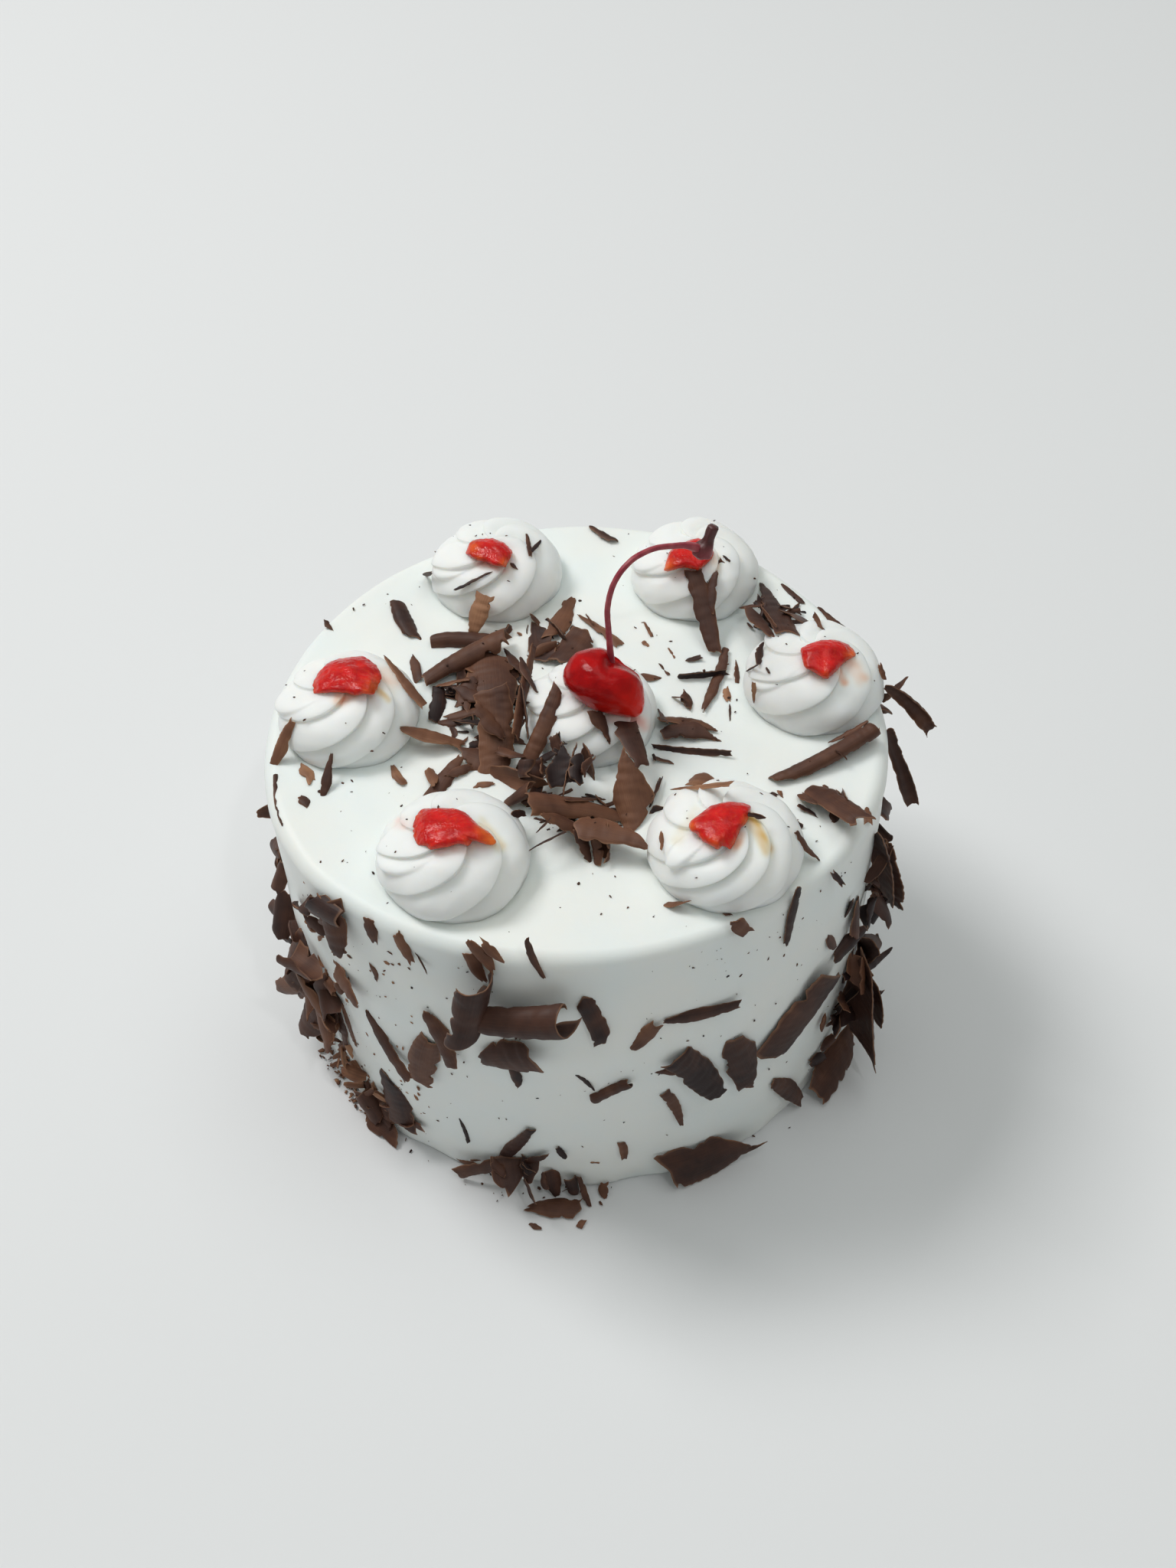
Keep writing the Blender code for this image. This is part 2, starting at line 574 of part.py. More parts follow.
def back_curls(rng):
    """Curls for the side away from the front, evenly spaced in angle at heights that vary."""
    step = (BACK_TO - BACK_FROM) / BACK_CURLS
    made = []
    for i in range(BACK_CURLS):
        angle = BACK_FROM + step * (i + 0.5)
        level = 26 + 58 * (i * GOLDEN % 1)
        half, skew = rng.uniform(9, 13), rng.uniform(-3, 3)
        width, roll = rng.uniform(8, 12), rng.uniform(70, 130)
        made.append((angle - skew, level + half, angle + skew, level - half, width, roll, 1, 0))
    return made


def back_flakes(rng):
    """Small flakes between the back curls, high and low in turn."""
    step = (BACK_TO - BACK_FROM) / BACK_CURLS
    made = []
    for i in range(BACK_CURLS + 1):
        level = CAKE_HEIGHT / MM * (0.30 if i % 2 else 0.78) + rng.uniform(-10, 10)
        angle, half, skew = BACK_FROM + step * i, rng.uniform(4, 6), rng.uniform(-2, 2)
        made.append((angle - skew, level + half, angle + skew, level - half, rng.uniform(4, 6), 70, 1, 0))
    return made


def build():
    """Makes every piece of the cake."""
    clear_scene()
    rng = random.Random(RANDOM_SEED)
    cream = finish_of("cream", (0.86, 0.88, 0.86), 0.55)
    chocolate = finish_of("chocolate", (0.085, 0.038, 0.026), 0.5)
    glace = finish_of("cherry_red", (0.62, 0.015, 0.012), 0.15)
    dark_cherry = finish_of("cherry_dark", (0.30, 0.004, 0.008), 0.1)
    stalk = finish_of("stem", (0.22, 0.02, 0.035), 0.45)

    for key, spec in ROSETTES.items():
        rosette = swirl("rosette_" + key, spec, cream)
        if key == "centre":
            cutter = whole_cherry("socket", dark_cherry, SOCKET_CLEARANCE)
        else:
            cutter = cherry_piece("socket", CHERRY_PIECES[key], glace, SOCKET_CLEARANCE)
            cherry_piece("cherry_piece_" + key, CHERRY_PIECES[key], glace)
        apply_boolean(rosette, [cutter], "DIFFERENCE")
    whole_cherry("cherry", dark_cherry)
    stem("cherry_stem", stalk)

    near_pile = ("centre", "front_left", "left", "back_left")
    cutters = [swirl("clear_" + key, ROSETTES[key], cream, 0.0, PILE_CLEARANCE) for key in near_pile]
    pile("chocolate_pile", PILE, PADS, cutters, chocolate, rng)
    near_rim = ("right", "back_right")
    cutters = [swirl("clear_" + key, ROSETTES[key], cream, 0.0, PILE_CLEARANCE) for key in near_rim]
    pile("chocolate_pile_rim", RIM_PILE, RIM_PADS, cutters, chocolate, rng)

    for name, spec in TOP_CURLS.items():
        top_chip(name, spec, CLEARANCE, chocolate, rng)
    for name, spec in SIDE_CURLS.items():
        side_chip(name, spec, CLEARANCE, chocolate, rng)
    for i, spec in enumerate(back_curls(rng)):
        side_chip(f"back_curl_{i + 1:02d}", spec, CLEARANCE, chocolate, rng)

    cake = cream_drum(cream)
    flakes = []
    for spec in SIDE_FLAKES + tuple(back_flakes(rng)):
        flakes.append(side_chip("flake", spec, -SUNK, cream, rng, rows=3, columns=2))
    for x, y, direction, length, width in TOP_FLAKES:
        spec = (x, y, direction, length, width, 60, 0, 3)
        flakes.append(top_chip("flake", spec, -SUNK, cream, rng, rows=3, columns=2))
    apply_boolean(cake, flakes, "UNION", "MANIFOLD")


build()
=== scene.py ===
"""The looks of a round whipped-cream cake with piped rosettes, cherries and chocolate shavings.

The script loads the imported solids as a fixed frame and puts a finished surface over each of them,
in the order in which the cake is made: the coat of cream, the rosettes, the fruit, the chocolate.
Lengths in the tables are millimetres, and everything else is in metres.
"""

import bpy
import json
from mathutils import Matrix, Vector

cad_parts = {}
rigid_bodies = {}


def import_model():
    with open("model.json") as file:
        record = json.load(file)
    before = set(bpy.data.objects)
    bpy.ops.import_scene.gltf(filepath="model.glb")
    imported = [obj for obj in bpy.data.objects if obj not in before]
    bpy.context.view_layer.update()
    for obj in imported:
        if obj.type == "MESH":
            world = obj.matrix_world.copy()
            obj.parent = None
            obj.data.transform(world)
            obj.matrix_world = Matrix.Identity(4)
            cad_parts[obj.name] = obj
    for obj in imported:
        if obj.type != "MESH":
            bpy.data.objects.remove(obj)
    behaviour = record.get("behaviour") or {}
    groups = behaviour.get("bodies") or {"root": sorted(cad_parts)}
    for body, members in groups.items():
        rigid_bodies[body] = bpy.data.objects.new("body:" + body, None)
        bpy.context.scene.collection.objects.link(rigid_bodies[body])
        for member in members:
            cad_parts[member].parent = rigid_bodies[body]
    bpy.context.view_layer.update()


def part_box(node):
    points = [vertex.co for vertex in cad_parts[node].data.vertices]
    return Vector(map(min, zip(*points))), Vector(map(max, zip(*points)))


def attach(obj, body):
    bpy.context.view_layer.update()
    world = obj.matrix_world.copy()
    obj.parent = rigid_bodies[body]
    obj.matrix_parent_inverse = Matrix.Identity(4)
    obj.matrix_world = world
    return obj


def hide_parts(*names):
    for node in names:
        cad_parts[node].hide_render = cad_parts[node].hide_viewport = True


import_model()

import json
import math

import bpy
import numpy as np
from mathutils import Matrix

# Camera, floor and light
# The camera looks down on the cake from the front. The key light is a large soft one high up at
# the back left, so the side that faces the camera lies in a cool, even shade.
MM = 0.001
EYE = np.array([3.38, -350.71, 473.91]) * MM
LOOK = np.array([0.0, 0.66575, -0.74618])
ROLL = math.radians(-2.14)
LENS, FILM, NEAREST = 40.13, 36.0, 0.01
FLOOR_SIZE, FLOOR_DROP, FLOOR_ROUGHNESS = 6.0, 0.2 * MM, 0.7
FLOOR_COLOUR = (0.80, 0.81, 0.83, 1.0)
LIT_MIDDLE = (0.0, 0.0, 0.09)
# Name: place, size, power and colour
LIGHTS = {
    "key_light": ((-1.25, 0.85, 2.2), 0.9, 37.0, (1.0, 0.99, 0.97)),
    "fill_light": ((0.3, 0.2, 2.4), 1.8, 13.0, (0.96, 1.0, 0.98)),
    "glint_light": ((0.48, -0.84, 1.75), 0.06, 2.0, (1.0, 1.0, 1.0)),
}
SKY_COLOUR, SKY_STRENGTH = (0.96, 0.99, 0.93, 1.0), 0.26


def placed(axes, place):
    """The matrix of an object with these three axes at this place."""
    return Matrix([[*(axis[i] for axis in axes), place[i]] for i in range(3)] + [[0, 0, 0, 1]])


level = np.array([1.0, 0.0, 0.0])
raised = np.cross(level, LOOK)
right = math.cos(ROLL) * level + math.sin(ROLL) * raised
up = math.cos(ROLL) * raised - math.sin(ROLL) * level
lens = bpy.data.cameras.new("camera")
lens.sensor_width = FILM
lens.lens = LENS
lens.clip_start = NEAREST
camera = bpy.data.objects.new("camera", lens)
camera.matrix_world = placed((right, up, -LOOK), EYE)
bpy.context.scene.collection.objects.link(camera)
bpy.context.scene.camera = camera
bpy.context.scene.view_settings.view_transform = "Standard"


def plain_material(name, colour, roughness):
    """A material whose shader holds one colour and roughness; nodes may then feed its sockets."""
    made = bpy.data.materials.new(name)
    made.use_nodes = True
    shader = made.node_tree.nodes["Principled BSDF"]
    shader.inputs["Base Color"].default_value = colour
    shader.inputs["Roughness"].default_value = roughness
    return made, made.node_tree, shader


def soft_light(name, place, size, power, colour):
    """A square light panel at a place, turned to face the middle of the cake."""
    panel = bpy.data.lights.new(name, "AREA")
    panel.size, panel.energy, panel.color = size, power, colour
    made = bpy.data.objects.new(name, panel)
    away = np.array(place) - np.array(LIT_MIDDLE)
    away = away / np.linalg.norm(away)
    across = np.cross([0.0, 0.0, 1.0], away)
    across = across / np.linalg.norm(across)
    over = np.cross(away, across)
    made.matrix_world = placed((across, over, away), place)
    bpy.context.scene.collection.objects.link(made)


for name, (place, size, power, colour) in LIGHTS.items():
    soft_light(name, place, size, power, colour)
sky = bpy.data.worlds.new("sky")
sky.use_nodes = True
sky.node_tree.nodes["Background"].inputs["Color"].default_value = SKY_COLOUR
sky.node_tree.nodes["Background"].inputs["Strength"].default_value = SKY_STRENGTH
bpy.context.scene.world = sky

floor_mesh = bpy.data.meshes.new("floor")
floor_corners = FLOOR_SIZE / 2 * np.array([(-1, -1, 0), (1, -1, 0), (1, 1, 0), (-1, 1, 0)])
floor_mesh.from_pydata(floor_corners.tolist(), [], [(0, 1, 2, 3)])
floor = bpy.data.objects.new("floor", floor_mesh)
floor.location.z = -FLOOR_DROP
bpy.context.scene.collection.objects.link(floor)
floor_mesh.materials.append(plain_material("floor_paper", FLOOR_COLOUR, FLOOR_ROUGHNESS)[0])

# The coat of cream
# The real coat is whipped cream drawn smooth with a scraper over the whole drum of the cake. It
# keeps shallow bands from the scraper, a soft rounded rim and a slightly thick, uneven foot.
RIM_ROUND = 3.8 * MM
# How far the front draws in toward the rim, from what height and over what rise, then how many
# times narrower than half the wall it is, and from what share of the radius it acts
FRONT_LEAN, LEAN_FROM, LEAN_RISE = 5.2 * MM, 62 * MM, 42 * MM
LEAN_NARROW, LEAN_INSIDE, LEAN_BAND = 1.6, 0.80, 0.18
COAT_SUNK, BASE_INSET, TOP_HOLE = 0.3 * MM, 1.2 * MM, 0.6 * MM
low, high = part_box("cake")
CAKE_R = (high.x - low.x) / 2
CAKE_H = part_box("rosette_centre")[0].z - COAT_SUNK
COAT_COLUMNS, WALL_ROWS, RIM_ROWS, TOP_ROWS, BASE_ROWS = 420, 84, 16, 60, 6
# Depth and length of the waves, of the scraper's bands and of the unevenness at the rim and foot
BROAD_WAVES, SHORT_WAVES, BANDS = (0.34 * MM, 62 * MM), (0.102 * MM, 19 * MM), (0.10 * MM, 7 * MM)
RIM_WAVES, FOOT_WAVES = (0.55 * MM, 45 * MM), (0.7 * MM, 16 * MM)
NEAR_RIM, NEAR_FOOT = 9 * MM, 5 * MM
CREAM_COLOURS = ((0.850, 0.900, 0.895, 1.0), (0.885, 0.905, 0.880, 1.0))
# How much light sinks in, how far its red, green and blue go, how deep, and the shine
CREAM_SOFT = (0.45, (1.0, 0.9, 0.8), 2.6 * MM, 0.35)
CREAM_ROUGHNESS, CREAM_SCALES, CREAM_BUMP = 0.48, (38, 900), (0.25 * MM, 0.35)
BROAD_DETAIL, FINE_DETAIL, FINE_SHARE, MOTTLE_RANGE = 3, 4, 0.35, (0.35, 0.65)


def ripple(points, size, seed, waves=7):
    """Smooth unevenness from -1 to 1: a mean of sine waves of about this length, each running in
    its own random direction with its own random phase."""
    rng = np.random.default_rng(seed)
    ways = rng.normal(size=(waves, 3))
    ways /= np.linalg.norm(ways, axis=1, keepdims=True)
    lengths = size * rng.uniform(0.6, 1.5, waves)
    phases = rng.uniform(0, math.tau, waves)
    waved = np.sin(points @ (ways / lengths[:, None]).T * math.tau + phases)
    return waved.sum(-1) / math.sqrt(waves) * 0.8


def uneven(points, kind, seed):
    """Unevenness of a kind, which is its depth and its length."""
    depth, length = kind
    return depth * ripple(points, length, seed)


def grid_faces(rows, columns, around):
    """Quads of a grid of points stored row by row. around joins each row's end to its start."""
    i, j = np.meshgrid(np.arange(rows - 1), np.arange(columns if around else columns - 1), indexing="ij")
    k = (j + 1) % columns
    quads = np.stack([i * columns + j, i * columns + k, (i + 1) * columns + k, (i + 1) * columns + j], -1)
    return quads.reshape(-1, 4)


def closed_faces(rows, columns):
    """Faces of a closed shape: a grid that runs round, with a fan to one more point at each end.
    The first row's pole comes second to last among the points, and the last row's pole last."""
    i = np.arange(columns)
    j = (i + 1) % columns
    start, end = rows * columns, rows * columns + 1
    last = (rows - 1) * columns
    fans = [np.stack([j, i, i * 0 + start], -1), np.stack([last + i, last + j, i * 0 + end], -1)]
    return grid_faces(rows, columns, True).tolist() + np.concatenate(fans).tolist()


def piece(name, points, faces, material, nodes, values=None, uv=None, sharp=None):
    """Adds a mesh as a piece of the cake that stands for some of the frame's nodes. values are
    named numbers at each point, uv is a flat map at each point in metres, and an edge that turns
    by more than sharp degrees stays crisp."""
    mesh = bpy.data.meshes.new(name)
    faces = faces if isinstance(faces, list) else faces.tolist()
    mesh.from_pydata(np.asarray(points, float).tolist(), [], faces)
    for label, numbers in (values or {}).items():
        data = mesh.attributes.new(label, "FLOAT", "POINT").data
        data.foreach_set("value", np.asarray(numbers, np.float32))
    if uv is not None:
        corners = np.empty(len(mesh.loops), np.int32)
        mesh.loops.foreach_get("vertex_index", corners)
        flat = np.asarray(uv, np.float32)[corners]
        mesh.uv_layers.new(name="strip").data.foreach_set("uv", flat.ravel())
    mesh.materials.append(material)
    mesh.shade_smooth()
    if sharp:
        mesh.set_sharp_from_angle(angle=math.radians(sharp))
    made = bpy.data.objects.new(name, mesh)
    bpy.context.scene.collection.objects.link(made)
    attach(made, "root")
    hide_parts(*nodes)


def soft_step(share):
    """0 below 0, 1 above 1 and 3s^2 - 2s^3 between."""
    share = np.clip(share, 0, 1)
    return share**2 * (3 - 2 * share)


def sharp_step(way):
    """From 0 to 1 round 0 by 1 / (1 + e^-way)."""
    return 1 / (1 + np.exp(-np.clip(way, -60, 60)))


def lean_back(points):
    """The front of the drum draws in toward its rim. Near the wall a point moves in by FRONT_LEAN
    times a cosine of its angle from the front and a soft step of its height."""
    angle, reach = np.arctan2(points[:, 0], -points[:, 1]), np.hypot(points[:, 0], points[:, 1])
    around = np.cos(np.clip(LEAN_NARROW * angle, -math.pi / 2, math.pi / 2))
    pull = FRONT_LEAN * around * soft_step((points[:, 2] - LEAN_FROM) / LEAN_RISE)
    pull = pull * soft_step((reach / CAKE_R - LEAN_INSIDE) / LEAN_BAND)
    return points * np.stack([1 - pull / np.maximum(reach, MM)] * 2 + [reach * 0 + 1], -1)


def coat_points():
    """The drum's profile, from the middle of its base out along the floor, up the wall, round the
    rim's quarter circle and in along the top, turned round the axis. Each point then moves along
    the profile's normal by long waves, by bands that depend on height alone, and by the rim's and
    the foot's own unevenness."""
    core = CAKE_R - RIM_ROUND
    base = np.linspace(0.1, 1, BASE_ROWS) * (CAKE_R - BASE_INSET)
    wall = np.linspace(BASE_INSET, CAKE_H - RIM_ROUND, WALL_ROWS)
    arc = np.linspace(0, math.pi / 2, RIM_ROWS)[1:]
    top = np.linspace(core, TOP_HOLE, TOP_ROWS)[1:]
    radius = np.concatenate([base, wall * 0 + CAKE_R, core + RIM_ROUND * np.cos(arc), top])
    rim = CAKE_H - RIM_ROUND + RIM_ROUND * np.sin(arc)
    height = np.concatenate([base * 0, wall, rim, top * 0 + CAKE_H])
    out = np.concatenate([base * 0, wall * 0 + 1, np.cos(arc), top * 0])[:, None]
    over = np.concatenate([base * 0, wall * 0, np.sin(arc), top * 0 + 1])[:, None]
    angle = np.linspace(0, math.tau, COAT_COLUMNS, endpoint=False)
    x, y, one = np.cos(angle), np.sin(angle), angle * 0 + 1
    plain = np.stack([radius[:, None] * x, radius[:, None] * y, height[:, None] * one], -1)
    along = np.stack([height * 0, height * 0, height + radius], -1)
    push = uneven(plain, BROAD_WAVES, 1) + uneven(plain, SHORT_WAVES, 2) + uneven(along, BANDS, 3)[:, None]
    from_rim = ((height - CAKE_H) / NEAR_RIM) ** 2 + ((radius - CAKE_R) / NEAR_RIM) ** 2
    near_rim = np.exp(-from_rim)[:, None]
    near_foot = np.exp(-((height / NEAR_FOOT) ** 2))[:, None] * out
    push += near_rim * uneven(plain, RIM_WAVES, 4) + near_foot * uneven(plain, FOOT_WAVES, 5)
    moved = np.stack([out * x, out * y, over * one], -1)
    points = lean_back((plain + push[..., None] * moved).reshape(-1, 3))
    return np.concatenate([points, [[0, 0, 0], [0, 0, CAKE_H]]]), len(radius)


def mottle_group():
    """Node group: two colours mixed by a soft noise of a given size, and a height from the same
    noise with a finer one on it."""
    group = bpy.data.node_groups.new("mottle", "ShaderNodeTree")
    for name, way, kind in (
        ("Place", "INPUT", "Vector"),
        ("Colour A", "INPUT", "Color"),
        ("Colour B", "INPUT", "Color"),
        ("Scale", "INPUT", "Float"),
        ("Fine Scale", "INPUT", "Float"),
        ("Colour", "OUTPUT", "Color"),
        ("Height", "OUTPUT", "Float"),
    ):
        group.interface.new_socket(name, in_out=way, socket_type="NodeSocket" + kind)
    nodes, links = group.nodes, group.links
    given, result = nodes.new("NodeGroupInput"), nodes.new("NodeGroupOutput")
    broad, fine = nodes.new("ShaderNodeTexNoise"), nodes.new("ShaderNodeTexNoise")
    for noise, detail, scale in ((broad, BROAD_DETAIL, "Scale"), (fine, FINE_DETAIL, "Fine Scale")):
        noise.inputs["Detail"].default_value = detail
        links.new(given.outputs["Place"], noise.inputs["Vector"])
        links.new(given.outputs[scale], noise.inputs["Scale"])
    blend = nodes.new("ShaderNodeMix")
    blend.data_type = "RGBA"
    spread = nodes.new("ShaderNodeMapRange")
    spread.inputs["From Min"].default_value, spread.inputs["From Max"].default_value = MOTTLE_RANGE
    links.new(broad.outputs["Fac"], spread.inputs["Value"])
    links.new(spread.outputs["Result"], blend.inputs["Factor"])
    links.new(given.outputs["Colour A"], blend.inputs["A"])
    links.new(given.outputs["Colour B"], blend.inputs["B"])
    links.new(blend.outputs["Result"], result.inputs["Colour"])
    total = nodes.new("ShaderNodeMath")
    total.operation = "MULTIPLY_ADD"
    total.inputs[1].default_value = FINE_SHARE
    links.new(fine.outputs["Fac"], total.inputs[0])
    links.new(broad.outputs["Fac"], total.inputs[2])
    links.new(total.outputs["Value"], result.inputs["Height"])
    return group


MOTTLE = mottle_group()


def add_bump(tree, shader, height, distance, strength):
    """Feeds a height into the shader's normal."""
    bump = tree.nodes.new("ShaderNodeBump")
    bump.inputs["Distance"].default_value = distance
    bump.inputs["Strength"].default_value = strength
    tree.links.new(height, bump.inputs["Height"])
    tree.links.new(bump.outputs["Normal"], shader.inputs["Normal"])


def add_mottle(tree, shader, colours, scales, bump):
    """Mottles a material in its object's own place: its colour and its bump. Returns the colour."""
    node = tree.nodes.new("ShaderNodeGroup")
    node.node_tree = MOTTLE
    tree.links.new(tree.nodes.new("ShaderNodeTexCoord").outputs["Object"], node.inputs["Place"])
    for name, value in zip(("Colour A", "Colour B", "Scale", "Fine Scale"), (*colours, *scales)):
        node.inputs[name].default_value = value
    tree.links.new(node.outputs["Colour"], shader.inputs["Base Color"])
    add_bump(tree, shader, node.outputs["Height"], *bump)
    return node.outputs["Colour"]


def tint_where(tree, shader, colour, name, tint):
    """Blends a colour toward a tint by a named value of the mesh, and gives it to the shader."""
    much = tree.nodes.new("ShaderNodeAttribute")
    much.attribute_name = name
    blend = tree.nodes.new("ShaderNodeMix")
    blend.data_type = "RGBA"
    blend.inputs["B"].default_value = tint
    tree.links.new(much.outputs["Fac"], blend.inputs["Factor"])
    tree.links.new(colour, blend.inputs["A"])
    tree.links.new(blend.outputs["Result"], shader.inputs["Base Color"])
    return blend.outputs["Result"]


def soften(shader, weight, radius, depth, shine):
    """Lets light sink in and sets how strongly the surface itself shines."""
    shader.inputs["Subsurface Weight"].default_value = weight
    shader.inputs["Subsurface Radius"].default_value = radius
    shader.inputs["Subsurface Scale"].default_value = depth
    shader.inputs["Specular IOR Level"].default_value = shine


def cream_material(name, colours, soft):
    """Whipped cream: light that sinks in a little, a soft sheen and a fine air-bubble grain."""
    made, tree, shader = plain_material(name, colours[0], CREAM_ROUGHNESS)
    soften(shader, *soft)
    return made, tree, shader, add_mottle(tree, shader, colours, CREAM_SCALES, CREAM_BUMP)


coat, coat_rows = coat_points()
coat_cream = cream_material("cream", CREAM_COLOURS, CREAM_SOFT)[0]
piece("cream_coat", coat, closed_faces(coat_rows, COAT_COLUMNS), coat_cream, ["cake"])

# The rosettes
# Each is whipped cream piped from a star nozzle in one turn of the wrist, then drawn up, so its
# folds wind outward like overlapping shingles. Cherry juice has run down some of the folds.
SWIRL_ROWS, SWIRL_COLUMNS = 96, 240
TWIST = math.radians(155)
CREST_AT, LIP, RISE_POWER, DROP_POWER = 0.78, 0.15, 0.8, 1.2
# The dome's slope at its foot and at its crown in degrees, and how square its plan and side are
DOME_FROM, DOME_TO, DOME_WIDE, DOME_HIGH = -22, 90, 0.85, 1.05
FOLD_DEPTH, FOOT_LIFT, FOOT_SUNK = 3.5 * MM, 3.6 * MM, 0.8 * MM
SHALLOW_ENDS, CROWN_SHARE, FOLDS_VARY, SINK_IN = 0.62, 0.35, (0.8, 1.2), 0.8
CALM_SIDE, CALM_REACH, CALM = 190, 80, 0.66
LOBE_EDGE, LOBE_TALL, LOBE_LIFT, FOOT_BAND = 0.012, 0.18, 0.25, 0.04
SWIRL_WAVES, OUT_TILT = ((0.34 * MM, 15 * MM), (0.10 * MM, 5 * MM)), 0.4
POLE_LOW, POLE_HIGH, POLE_HOLE = 0.5 * MM, 0.2 * MM, 0.3 * MM
SWIRL_TALL, CENTRE_TALL = 17.3 * MM, 15.0 * MM
# The rosettes' cream is painted lighter than the coat's: painted light that brightens their front slopes,
# which the lamps leave in shade
PEAK_COLOURS_PAINTED_LIGHTER = ((0.900, 0.950, 0.932, 1.0), (0.920, 0.950, 0.905, 1.0))
PEAK_SOFT = (0.85, (1.0, 0.9, 0.8), 4.5 * MM, 0.35)
# Name: its shift from the node's middle in mm, the angles of its folds' crests at the foot in
# degrees, and its loose tail of cream: angle, height share, bow, spread in degrees, reach in mm
SWIRLS = {
    "front_left": ((-1.4, 0.0), (-249, -187, -125, -62, -2, 58), (198, 0.44, 0.12, 28, 3.0)),
    "front_right": ((0.0, 0.0), (-222, -180, -140, -96, -45, 10, 75), (217, 0.45, 0.20, 12, 2.2)),
    "right": ((0.0, 0.0), (-238, -176, -112, -58, -8, 62), (200, 0.40, 0.15, 20, 2.0)),
    "back_right": ((0.0, 0.0), (-230, -172, -122, -70, -10, 66), (190, 0.42, 0.15, 20, 1.8)),
    "back_left": ((0.0, 0.0), (-244, -190, -130, -66, -14, 50), (196, 0.40, 0.14, 24, 2.4)),
    "left": ((0.0, 0.0), (-226, -168, -116, -52, 6, 70), (188, 0.42, 0.15, 22, 2.2)),
    "centre": ((0.0, 0.0), (-240, -184, -132, -74, -20, 48), (170, 0.36, 0.12, 20, 3.0)),
}
JUICES = {
    "pink": (0.88, 0.50, 0.45, 1.0),
    "orange": (0.86, 0.36, 0.16, 1.0),
    "ochre": (0.72, 0.47, 0.17, 1.0),
}
JUICE_RAGGED, JUICE_LONG, JUICE_EDGE = 0.35, 3.5 * MM, 2.6
# Name: streaks of juice as seen from the front: the juice, then both ends in mm right of and above
# the fruit's middle, how far it spreads in mm and how strong it is
STREAKS = {
    "front_left": (
        ("ochre", 8.0, 1.0, 13.6, -5.2, 1.5, 0.40), ("pink", 2.0, -5.0, 4.8, -5.6, 1.5, 0.40),
        ("pink", -14.0, 1.0, -10.0, 0.8, 1.9, 0.40),
    ),
    "front_right": (
        ("ochre", 6.7, 2.1, 9.1, -0.6, 1.7, 0.85), ("ochre", 9.1, -0.6, 11.8, -6.6, 1.6, 0.9),
        ("ochre", -6.4, 3.1, -11.8, -4.3, 1.6, 0.22), ("orange", 3.5, -5.6, 4.9, -3.0, 1.3, 0.5),
    ),
    "right": (("orange", 2.2, -4.2, 3.7, -7.4, 1.2, 0.5), ("orange", 5.4, -1.0, 8.9, -6.2, 2.4, 0.38)),
    "back_right": (("orange", 6.7, -1.3, 6.9, -5.6, 1.7, 0.3),),
    "back_left": (("pink", -2.5, -3.8, 4.7, -5.6, 1.8, 0.45),),
    "left": (
        ("orange", 3.0, -4.6, -0.6, -6.6, 1.9, 0.6), ("orange", 10.6, 0.8, 13.7, -0.7, 3.0, 0.35),
        ("ochre", 9.6, -3.3, 12.9, -6.6, 0.9, 0.7),
    ),
    "centre": (("pink", 7.0, -10.0, 11.0, -11.5, 2.4, 0.6), ("pink", -2.0, -9.5, 5.0, -10.5, 1.6, 0.3)),
}
# Name: the middle of the fruit on it, x and y in mm and how far over the cake's top
FRUIT = {
    "front_left": (-33.5, -50.5, 15.0),
    "front_right": (38.0, -53.0, 15.0),
    "right": (74.0, 8.0, 15.0),
    "back_right": (37.5, 55.5, 15.0),
    "back_left": (-24.5, 59.5, 15.0),
    "left": (-65.0, 7.0, 15.0),
    "centre": (9.2, -2.0, 17.9),
}


def fold_height(share):
    """A fold's section, 0 in the groove and 1 on the crest: a slow rise, then a quick drop."""
    rise = np.sin(math.pi / 2 * np.clip(share / CREST_AT, 0, 1)) ** RISE_POWER
    drop = np.cos(math.pi / 2 * np.clip((share - CREST_AT) / (1 - CREST_AT), 0, 1)) ** DROP_POWER
    return np.where(share < CREST_AT, rise, drop)


def fold_angles(crests, place):
    """Angle at the foot of each place round the folds. It runs straight from a groove to the crest
    and on to the next groove, which lies past the crest by the rest of the fold's own width."""
    whole_turns = np.array([-360] * 2 + [0] * len(crests) + [360])
    around = np.array([*crests[-2:], *crests, crests[0]], float) + whole_turns
    grooves = around[1:-1] + (1 - CREST_AT) * (around[1:-1] - around[:-2])
    knots = np.arange(len(crests) + 1)
    at = np.concatenate([knots, knots[:-1] + CREST_AT])
    angles = np.concatenate([grooves, crests])
    order = np.argsort(at)
    return np.radians(np.interp(place, at[order], angles[order]))


